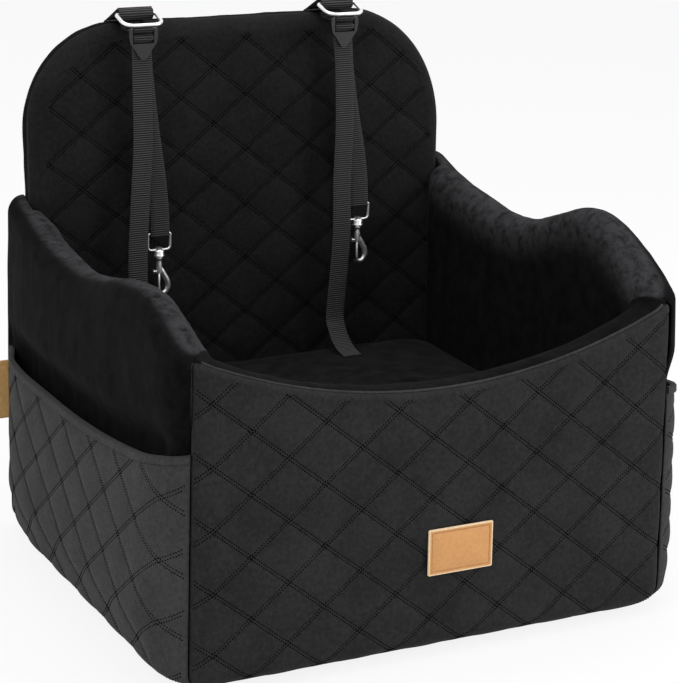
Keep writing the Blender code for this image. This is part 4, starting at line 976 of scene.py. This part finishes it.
patch_low, patch_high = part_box("leather_patch")
patch_x, patch_z = (patch_low[0] + patch_high[0]) / 2, (patch_low[2] + patch_high[2]) / 2
patch_half_x, patch_half_z = (patch_high[0] - patch_low[0]) / 2, (patch_high[2] - patch_low[2]) / 2
patch_thickness = 0.0016
patch_clearance = 0.0003
patch_corner = 0.0016


def patch_loop(inset, lift):
    """The patch's rounded outline, drawn in by inset, at a height over the panel."""
    radius = max(patch_corner - inset, 0.0005)
    outline = rounded(patch_half_x - inset, patch_half_z - inset, radius, 6, 1)
    return [wall_point(patch_x + x, -lift, patch_z + z) for x, z in outline + outline[:1]]


face = patch_clearance + patch_thickness
edge_cut = patch_clearance + patch_thickness * 0.7
loops = [patch_loop(inset, lift) for inset, lift in (
    (0.0, patch_clearance), (0.0, edge_cut), (0.0006, face), (0.0015, face), (0.0030, face),
    (0.0036, patch_thickness), (0.0044, patch_thickness), (0.0052, face), (0.020, face))]
patch = weave_grid("tan_patch", loops, "seat", "tan_leatherette")
close_up(patch, 35)
dress(patch, leather_finish)
patch.data.materials.append(edge_finish)
for side in patch.data.polygons:
    middle = side.center
    out = max(abs(middle.x - patch_x) - patch_half_x, abs(middle.z - patch_z) - patch_half_z)
    side.material_index = 1 if out > -patch_corner else 0
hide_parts("leather_patch")
sew("patch_stitches", [patch_loop(0.0040, patch_thickness + 0.0002)], (0.00030, 0.0016, 0.0010), "tan_leatherette",
    tan_thread)


# Tag: a satin ribbon folded double, with its ends in the rear seam of the left pocket. It is bare.

# Satin ribbon, woven: tan, smooth, with fine threads across its width
ribbon_finish, tree = new_finish("woven_tan_ribbon")
ribbon_thread = 0.0012
where = add(tree, "ShaderNodeTexCoord", output="Object")
ribs = add(tree, "ShaderNodeSeparateXYZ", output=2, vector=where)
ribs = add(tree, "ShaderNodeMath", {"operation": "MULTIPLY"}, _0=ribs, _1=math.tau / ribbon_thread)
ribs = add(tree, "ShaderNodeMath", {"operation": "SINE"}, _0=ribs)
colour = add(tree, "ShaderNodeValToRGB", stops=((0.35, "#cf9f60"), (0.65, "#dcb173")), _0=grain_of(tree, 0.006, 4.0))
surface(tree, colour, [(ribs, 0.00015, 0.5)], roughness=0.5, sheen_weight=0.2)

tag_low, tag_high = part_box("side_tag")
tag_y, tag_half = (tag_low[1] + tag_high[1]) / 2, (tag_high[1] - tag_low[1]) / 2
tag_height, tag_reach, tag_sway = 0.068, 0.0165, 0.0012
fold = tag_low[0] + tag_half
section = [(mix(tag_high[0], fold, k / 6), tag_y - tag_half) for k in range(6)]
for k in range(9):
    section.append((fold - tag_half * math.sin(math.pi * k / 8), tag_y - tag_half * math.cos(math.pi * k / 8)))
section += [(mix(fold, tag_high[0], k / 6), tag_y + tag_half) for k in range(1, 7)]
grid = []
for z in spread(tag_low[2], tag_high[2], 0.002):
    sway = tag_sway * math.sin((z - tag_low[2]) / tag_height * math.pi)
    grid.append([Vector((x, y - sway * (tag_high[0] - x) / tag_reach, z)) for x, y in section])
tag = weave_grid("side_ribbon", grid, "seat", "tan_leatherette")
back_to_cloth(tag, 0.0005)
dress(tag, ribbon_finish)
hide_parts("side_tag")


# Webbing: narrow polyester tape with cross ribs for the tethers, and a wider one for the straps that
# hold the rings. Each tether strap is sewn round its hook, goes up round the ladder lock and down.

# Polyester webbing, woven: dark grey with a rib every few threads and a faint shine on the ribs; painted light on the
# rib tops and painted shade in the grooves between them
web_finish, tree = new_finish("woven_black_webbing")
rib_pitch = 0.0025
web_thread = 0.0011
lengthwise = add(tree, "ShaderNodeSeparateXYZ", output=1, vector=add(tree, "ShaderNodeUVMap"))
crosswise = lengthwise.node.outputs[0]
turns = add(tree, "ShaderNodeMath", {"operation": "MULTIPLY"}, _0=lengthwise, _1=math.tau / rib_pitch)
rib = add(tree, "ShaderNodeMath", {"operation": "SINE"}, _0=turns)
painted_rib_light = add(tree, "ShaderNodeMath", {"operation": "MULTIPLY_ADD"}, _0=rib, _1=0.5, _2=0.5)
across = add(tree, "ShaderNodeMath", {"operation": "MULTIPLY"}, _0=crosswise, _1=math.tau / web_thread)
cross = add(tree, "ShaderNodeMath", {"operation": "SINE"}, _0=across)
# Painted light and shade: the colour follows the ribs, pale on their tops and near black between them
colour = add(tree, "ShaderNodeValToRGB", stops=((0.15, "#080808"), (0.95, "#484848")), _0=painted_rib_light)
surface(tree, colour, [(rib, 0.0003, 0.6), (cross, 0.0001, 0.4)], roughness=0.65, sheen_weight=0.05,
        specular_ior_level=0.15)


def resample(path, step):
    """Even points along a smooth curve through a path's points."""
    fine = []
    last = len(path) - 1
    for k in range(last):
        p0, p1, p2, p3 = path[max(k - 1, 0)], path[k], path[k + 1], path[min(k + 2, last)]
        for part in range(12):
            t = part / 12
            fine.append(0.5 * ((2 * p1) + (p2 - p0) * t + (2 * p0 - 5 * p1 + 4 * p2 - p3) * t * t
                               + (3 * p1 - p0 - 3 * p2 + p3) * t * t * t))
    fine.append(path[last])
    made = [fine[0]]
    left = step
    for before, after in zip(fine, fine[1:]):
        gap = (after - before).length
        while gap >= left and gap > 0:
            before = before.lerp(after, left / gap)
            made.append(before)
            gap = (after - before).length
            left = step
        left -= gap
    made.append(fine[-1])
    return made


def webbing(name, path, width, thickness, body, stands_for, pitch=rib_pitch):
    """Ribbed tape along a path, with rounded edges and its length kept in its UV map."""
    rib_rise = 0.00014
    step = pitch / 4
    points = resample(path, step)
    rings, places = [], []
    for k, point in enumerate(points):
        run = points[min(k + 1, len(points) - 1)] - points[max(k - 1, 0)]
        up = Vector((0, -run.z, run.y)).normalized()
        half = thickness / 2 - rib_rise + rib_rise * math.sin(math.tau * k * step / pitch)
        flat = width / 2 - thickness / 2
        face = (-flat, -flat / 2, 0, flat / 2, flat)
        section = [(x, -half) for x in face] + [(width / 2, 0)]
        section += [(x, half) for x in face[::-1]] + [(-width / 2, 0), (-flat, -half)]
        rings.append([point + Vector((x, 0, 0)) + up * rise for x, rise in section])
        places.append([(x, k * step) for x, _ in section])
    tape = weave_grid(name, rings, body, "black_webbing")
    layer = tape.data.uv_layers.new(name="length")
    for loop in tape.data.loops:
        row, column = divmod(loop.vertex_index, len(rings[0]))
        layer.data[loop.index].uv = places[row][column]
    close_up(tape, 60)
    dress(tape, web_finish)
    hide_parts(stands_for)


def arc(centre, radius_across, radius_up, start, end, count):
    """Places on an ellipse, by angle in degrees from its first axis towards its second."""
    angles = [math.radians(mix(start, end, k / (count - 1))) for k in range(count)]
    return [(centre[0] + radius_across * math.cos(angle), centre[1] + radius_up * math.sin(angle)) for angle in angles]


tether_width = 0.0230
tape = 0.0013
top_width, top_tape, top_sewn, top_pitch = 0.040, 0.0015, 0.075, 0.0030
clear = 0.0003
hang_y = 0.195
bar_radius = 0.0018
bar_pitch = 0.0095
top_bar = 0.5765
lock_bar = top_bar - bar_pitch
wrap = bar_radius + clear + tape / 2
tail_y = hang_y + 0.002 + clear + tape / 2
strand_y = tail_y + tape + 1.5 * clear
eye_wire = 0.0030
eye_loop = math.hypot(eye_wire / 2, eye_wire / 2) + clear + tape / 2
tail_curl, tail_rest, tail_lean, tail_run = 0.245, 0.1945, 0.012, 0.085
ring_half, ring_depth, ring_wire, ring_bend = 0.0228, 0.028, 0.0022, 0.0115
ring_y, ring_z, ring_tilt = hang_y - 0.0055, back_top + 0.0125, math.radians(17)
ring_bar_y = ring_y + ring_depth * math.cos(ring_tilt)
eye_radius = 0.0062
tethers = {
    "left": (-0.1375, 0.343, 0.0223, -0.009, (0.30, 0.65), 0.0),
    "right": (0.1085, 0.356, 0.0278, -0.011, (0.62, 1.02), 0.0038),
}
for word, (x, eye_z, strand_drift, tail_drift, sway_shares, bow) in tethers.items():
    eye = (strand_y + eye_loop, eye_z)
    flap_y = eye[0] + eye_loop
    path = [(strand_y + tape + clear, eye_z + 0.022)]
    path += [(mix(path[0][0], flap_y, 0.5), mix(eye_z, path[0][1], 0.5)), (flap_y, eye_z + eye_loop / 2)]
    path += arc(eye, eye_loop, eye_loop, 360, 180, 8)
    path += [(strand_y, mix(eye_z, lock_bar, share)) for share in (0.12, 0.3, 0.6, 0.9)]
    strand_end = len(path)
    path += arc((hang_y, lock_bar), strand_y - hang_y, wrap, 0, 70, 5)
    path += arc((hang_y, lock_bar), wrap, wrap, 90, 270, 9)
    path += arc((hang_y, lock_bar - 2 * wrap), tail_y - hang_y, wrap, 70, 0, 4)
    tail_start = len(path)
    path += [(tail_y - tail_lean * ease(share, 0.0, 1.0), mix(lock_bar - 2 * wrap, tail_curl, share))
             for share in (0.15, 0.35, 0.55, 0.75, 0.92)]
    curl_y, end_y = tail_y - tail_lean, back_front - tail_run
    path += [(end_y + (curl_y - end_y) * math.cos(angle), tail_curl - (tail_curl - tail_rest) * math.sin(angle))
             for angle in [math.pi / 2 * k / 5 for k in range(1, 6)]]
    points = []
    for k, (y, z) in enumerate(path):
        aside = 0.0
        if k < strand_end:
            aside = strand_drift * ease(lock_bar - z, 0.0, lock_bar - eye_z)
        elif k >= tail_start:
            share = (lock_bar - z) / (lock_bar - tail_rest)
            aside = bow * math.sin(math.pi * min(share / 0.5, 1.0)) + tail_drift * ease(share, *sway_shares)
        points.append(Vector((x + aside, y, z)))
    webbing(word + "_tether_webbing", points, tether_width, tape, word + "_tether", word + "_tether_strap")

    shoulder = (back_front + back_lean + back_radius, back_top - back_radius)
    under = back_radius + clear + tape / 2
    over = under + tape + clear
    path = arc(shoulder, under, under, 112, 134, 4) + arc((hang_y, top_bar), wrap, wrap, 285, 80, 12)
    path += arc(shoulder, over, over, 134, 112, 4)
    points = [Vector((x, y, z)) for y, z in path]
    webbing(word + "_tab_webbing", points, tether_width, tape, "seat", word + "_tether_tab")

    under = clear + top_tape / 2
    over = under + top_tape + clear
    corner = (back_rear - back_radius, back_top - back_radius)
    eye = (ring_bar_y - lean(ring_z) + eye_radius - top_tape / 2 - ring_wire - clear, ring_z)
    low = back_top - top_sewn
    path = [(back_rear + under, low), (back_rear + under, mix(low, corner[1], 0.5))]
    path += arc(corner, back_radius + under, back_radius + under, 0, 90, 7)
    path += arc(eye, eye_radius, eye_radius, -90, -290, 11)
    path += arc(corner, back_radius + over, back_radius + over, 75, 0, 6)
    path += [(back_rear + over, mix(low, corner[1], 0.5)), (back_rear + over, low)]
    points = [Vector((x, y + lean(z), z)) for y, z in path]
    webbing(word + "_top_webbing", points, top_width, top_tape, "seat", word + "_top_strap", top_pitch)


# Hardware: rings and swivel snap hooks of zinc, cast or bent and then plated, and moulded ladder locks.
# Each hook turns on its eye, which the tether's loop holds, and its bolt slides in the barrel.

# Zinc alloy, die cast and nickel plated: bright, and a little wavy from the casting
plated_finish, tree = new_finish("nickel_plated_zinc")
colour = add(tree, "ShaderNodeValToRGB", stops=((0.35, "#dcdcde"), (0.65, "#f0f0f1")), _0=grain_of(tree, 0.008, 3.0))
surface(tree, colour, [(grain_of(tree, 0.003, 2.0), 0.0002, 0.15)], metallic=0.92, roughness=0.34)

# Acetal, injection moulded: black, smooth, with a clear soft gloss on its edges
acetal_finish, tree = new_finish("moulded_black_acetal")
colour = add(tree, "ShaderNodeValToRGB", stops=((0.35, "#0e0e0e"), (0.65, "#171717")), _0=grain_of(tree, 0.004, 2.0))
surface(tree, colour, [(grain_of(tree, 0.0006, 2.0), 0.00005, 0.3)], roughness=0.22, specular_ior_level=0.5)

rearward = Vector((0, 1, 0))


def cast(name, shells, body, stands_for):
    """One plated piece from shells of rings."""
    piece = new_piece(name, *join_rings(shells), body, "plated_zinc")
    close_up(piece, 50)
    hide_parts(stands_for)
    dress(piece, plated_finish)


def turned(profile, place, sides=28):
    """Rings about a vertical axis, from (radius, height) pairs."""
    angles = [math.tau * k / sides for k in range(sides)]
    return [[Vector((place[0] + radius * math.cos(a), place[1] + radius * math.sin(a), z)) for a in angles]
            for radius, z in profile]


def swept(path, radii, plane, looped=False, sides=14):
    """Round rings along a path that lies in one plane, given by its normal."""
    rings = []
    last = len(path) - 1
    for k, point in enumerate(path):
        before = path[k - 1] if looped or k else path[k]
        after = path[(k + 1) % len(path)] if looped or k < last else path[k]
        across = plane.cross(after - before).normalized()
        radius = radii[k] if isinstance(radii, list) else radii
        angles = [math.tau * j / sides for j in range(sides)]
        rings.append([point + (across * math.cos(a) + plane * math.sin(a)) * radius for a in angles])
    return rings


front_run = Vector((0, -math.cos(ring_tilt), -math.sin(ring_tilt)))
ring_normal = Vector((0, -math.sin(ring_tilt), math.cos(ring_tilt)))
ring_foot = 0.0026
window_height, window_corner, frame_wire = 0.016, 0.0042, eye_wire / 2
barrel_length, arm_radius = 0.0190, 0.0025
mouth_half, mouth_rise, mouth_aside, mouth_drop = 0.0068, 0.0095, 0.0040, 0.0142
knob_reach, knob_length = 0.0066, 0.0014
for word, (x, eye_z, strand_drift, *_) in tethers.items():
    outline = arc((ring_half - ring_bend, ring_depth - ring_bend), ring_bend, ring_bend, 90, 0, 12)
    outline += arc((ring_half - ring_foot, ring_foot), ring_foot, ring_foot, 0, -90, 6)
    outline += [(-px, depth) for px, depth in reversed(outline)]
    bar = Vector((x, ring_bar_y, ring_z))
    path = [bar + Vector((px, 0, 0)) + front_run * depth for px, depth in outline]
    cast(word + "_ring", [(swept(path, ring_wire, ring_normal, True), True)], word + "_ring", word + "_d_ring")

    x, y = x + strand_drift, strand_y + eye_loop
    half = tether_width / 2 + 0.0005 + frame_wire
    window_low = eye_z - frame_wire - window_height
    outline = [(half - 0.0012, eye_z), (half, eye_z - 0.0012)]
    outline += [(half, mix(eye_z, window_low, k / 6)) for k in range(1, 5)]
    outline += arc((half - window_corner, window_low + window_corner - frame_wire), window_corner, window_corner,
                   0, -90, 7)
    outline += [(half * share, window_low - frame_wire) for share in (0.4, 0.15)]
    outline += [(-px, pz) for px, pz in reversed(outline)]
    path = [Vector((x + px, y, pz)) for px, pz in outline]
    base = window_low - 0.0085
    boss = [(0.0030, window_low - 0.0004), (0.0048, window_low - 0.0010), (0.0058, window_low - 0.0030),
            (0.0056, base + 0.0022), (0.0062, base + 0.0014), (0.0062, base), (0.0052, base - 0.0007)]
    cast(word + "_swivel_eye", [(swept(path, frame_wire, rearward, True), True), (turned(boss, (x, y)), False)],
         word + "_eye", word + "_hook_eye")

    top = base - 0.00075 - clear
    low = top - barrel_length
    barrel = [(0.0020, window_low + 0.0018), (0.0042, window_low + 0.0012), (0.0042, window_low + 0.0003),
              (0.0020, window_low + 0.0003), (0.0020, top), (0.0030, top), (0.0037, top - 0.0006),
              (0.0037, top - 0.0020), (0.0029, top - 0.0028), (0.0029, top - 0.0050), (0.0034, top - 0.0080),
              (0.0037, low + 0.0020), (0.0036, low)]
    arm = [(0.0014, low + 0.0070), (0.0030, low + 0.0035), (0.0050, low)]
    radii = [0.0022, 0.0027, 0.0030]
    end = math.degrees(math.acos(-mouth_aside / mouth_half))
    arm += arc((mouth_aside, low - mouth_drop), mouth_half, mouth_rise, 50, -end, 30)
    radii += [arm_radius * mix(1.3, 0.9, ease(k / 29, 0.2, 1.0)) for k in range(30)]
    path = [Vector((x + px, y, pz)) for px, pz in arm]
    cast(word + "_snap_body", [(turned(barrel, (x, y)), False), (swept(path, radii, rearward), False)],
         word + "_hook", word + "_hook_body")

    pin = [(0.0011, low + 0.0052), (0.0015, low + 0.0047), (0.0015, arm[-1][1] + radii[-1] + clear)]
    knob_z = low + 0.0022
    neck = [Vector((x - knob_reach * share, y, knob_z)) for share in (0.0, 0.5, 1.0)]
    knob = [Vector((x - knob_reach + knob_length * share, y, knob_z)) for share in (-0.5, -0.35, 0.35, 0.5)]
    shells = [(turned(pin, (x, y), 16), False), (swept(neck, 0.0010, rearward), False),
              (swept(knob, [0.0020, 0.0026, 0.0026, 0.0020], rearward), False)]
    cast(word + "_snap_bolt", shells, word + "_bolt", word + "_hook_bolt")

    lock = nodes[word + "_ladder_lock"]
    dress(lock, acetal_finish)
    soften = lock.modifiers.new("soften", "BEVEL")
    soften.width = 0.0006
    soften.segments = 2
    soften.limit_method = "ANGLE"
    soften.angle_limit = math.radians(40)
    lock.data.shade_smooth()


# Studio: a white floor that keeps a faint shadow, a white surround, and soft lamps.

def seen(tree):
    """1 where the eye sees a surface, straight or in gloss or through glass, and 0 where light does."""
    share = add(tree, "ShaderNodeLightPath", output="Is Camera Ray")
    rays = share.node.outputs
    for ray in ("Is Glossy Ray", "Is Transmission Ray"):
        share = add(tree, "ShaderNodeMath", {"operation": "MAXIMUM"}, _0=share, _1=rays[ray])
    return share


floor_half = 6.0
mesh = bpy.data.meshes.new("floor")
mesh.from_pydata([(floor_half * x, floor_half * y, -0.0005) for x, y in ((-1, -1), (1, -1), (1, 1), (-1, 1))],
                 [], [(0, 1, 2, 3)])
floor = bpy.data.objects.new("floor", mesh)
bpy.context.scene.collection.objects.link(floor)
paper, tree = new_finish("matt_white_paper")
share = add(tree, "ShaderNodeMath", {"operation": "MULTIPLY"}, _0=seen(tree), _1=0.86)
diffuse = add(tree, "ShaderNodeBsdfDiffuse", color=linear("#fafafa"))
glow = add(tree, "ShaderNodeEmission", color=linear("#ffffff"), strength=1.0)
add(tree, "ShaderNodeOutputMaterial", _0=add(tree, "ShaderNodeMixShader", _0=share, _1=diffuse, _2=glow))
floor.data.materials.append(paper)

world = bpy.data.worlds.new("white_studio")
bpy.context.scene.world = world
world.use_nodes = True
tree = world.node_tree
tree.nodes.clear()
dim = add(tree, "ShaderNodeBackground", color=linear("#ffffff"), strength=0.55)
white = add(tree, "ShaderNodeBackground", color=linear("#ffffff"), strength=1.0)
add(tree, "ShaderNodeOutputWorld", _0=add(tree, "ShaderNodeMixShader", _0=seen(tree), _1=dim, _2=white))


def softbox(name, place, aim, size, power):
    """A square soft lamp at a place, aimed at another."""
    lamp = bpy.data.lights.new(name, "AREA")
    lamp.shape = "SQUARE"
    lamp.size = size
    lamp.energy = power
    held = bpy.data.objects.new(name, lamp)
    held.location = place
    held.rotation_euler = (Vector(aim) - Vector(place)).to_track_quat("-Z", "Y").to_euler()
    bpy.context.scene.collection.objects.link(held)


softbox("key", (-2.1, -1.0, 2.0), (0, 0, 0.25), 1.6, 23)
softbox("top", (0.3, 0.2, 2.6), (0, 0, 0.2), 1.8, 26)
softbox("fill", (1.6, -1.5, 0.9), (0.2, 0, 0.25), 1.0, 19)

# Camera: in front of the seat's left corner and a little above it, as in the photograph.

camera_place = Vector((-1.0834, -2.1463, 0.9972))
camera_aim = Vector((0.0135, 0.0010, 0.2580))
camera_roll = math.radians(1.421)
back = (camera_place - camera_aim).normalized()
right = Vector((0, 0, 1)).cross(back).normalized()
up = back.cross(right)
turned_right = right * math.cos(camera_roll) + up * math.sin(camera_roll)
turned_up = up * math.cos(camera_roll) - right * math.sin(camera_roll)
camera = bpy.data.cameras.new("camera")
camera.sensor_width = 36
camera.lens = 122.18
camera.clip_start = 0.01
stand = bpy.data.objects.new("camera", camera)
stand.matrix_world = Matrix((
    (turned_right.x, turned_up.x, back.x, camera_place.x),
    (turned_right.y, turned_up.y, back.y, camera_place.y),
    (turned_right.z, turned_up.z, back.z, camera_place.z),
    (0, 0, 0, 1)))
bpy.context.scene.collection.objects.link(stand)
bpy.context.scene.camera = stand
bpy.context.scene.view_settings.view_transform = "Standard"

bpy.context.view_layer.update()
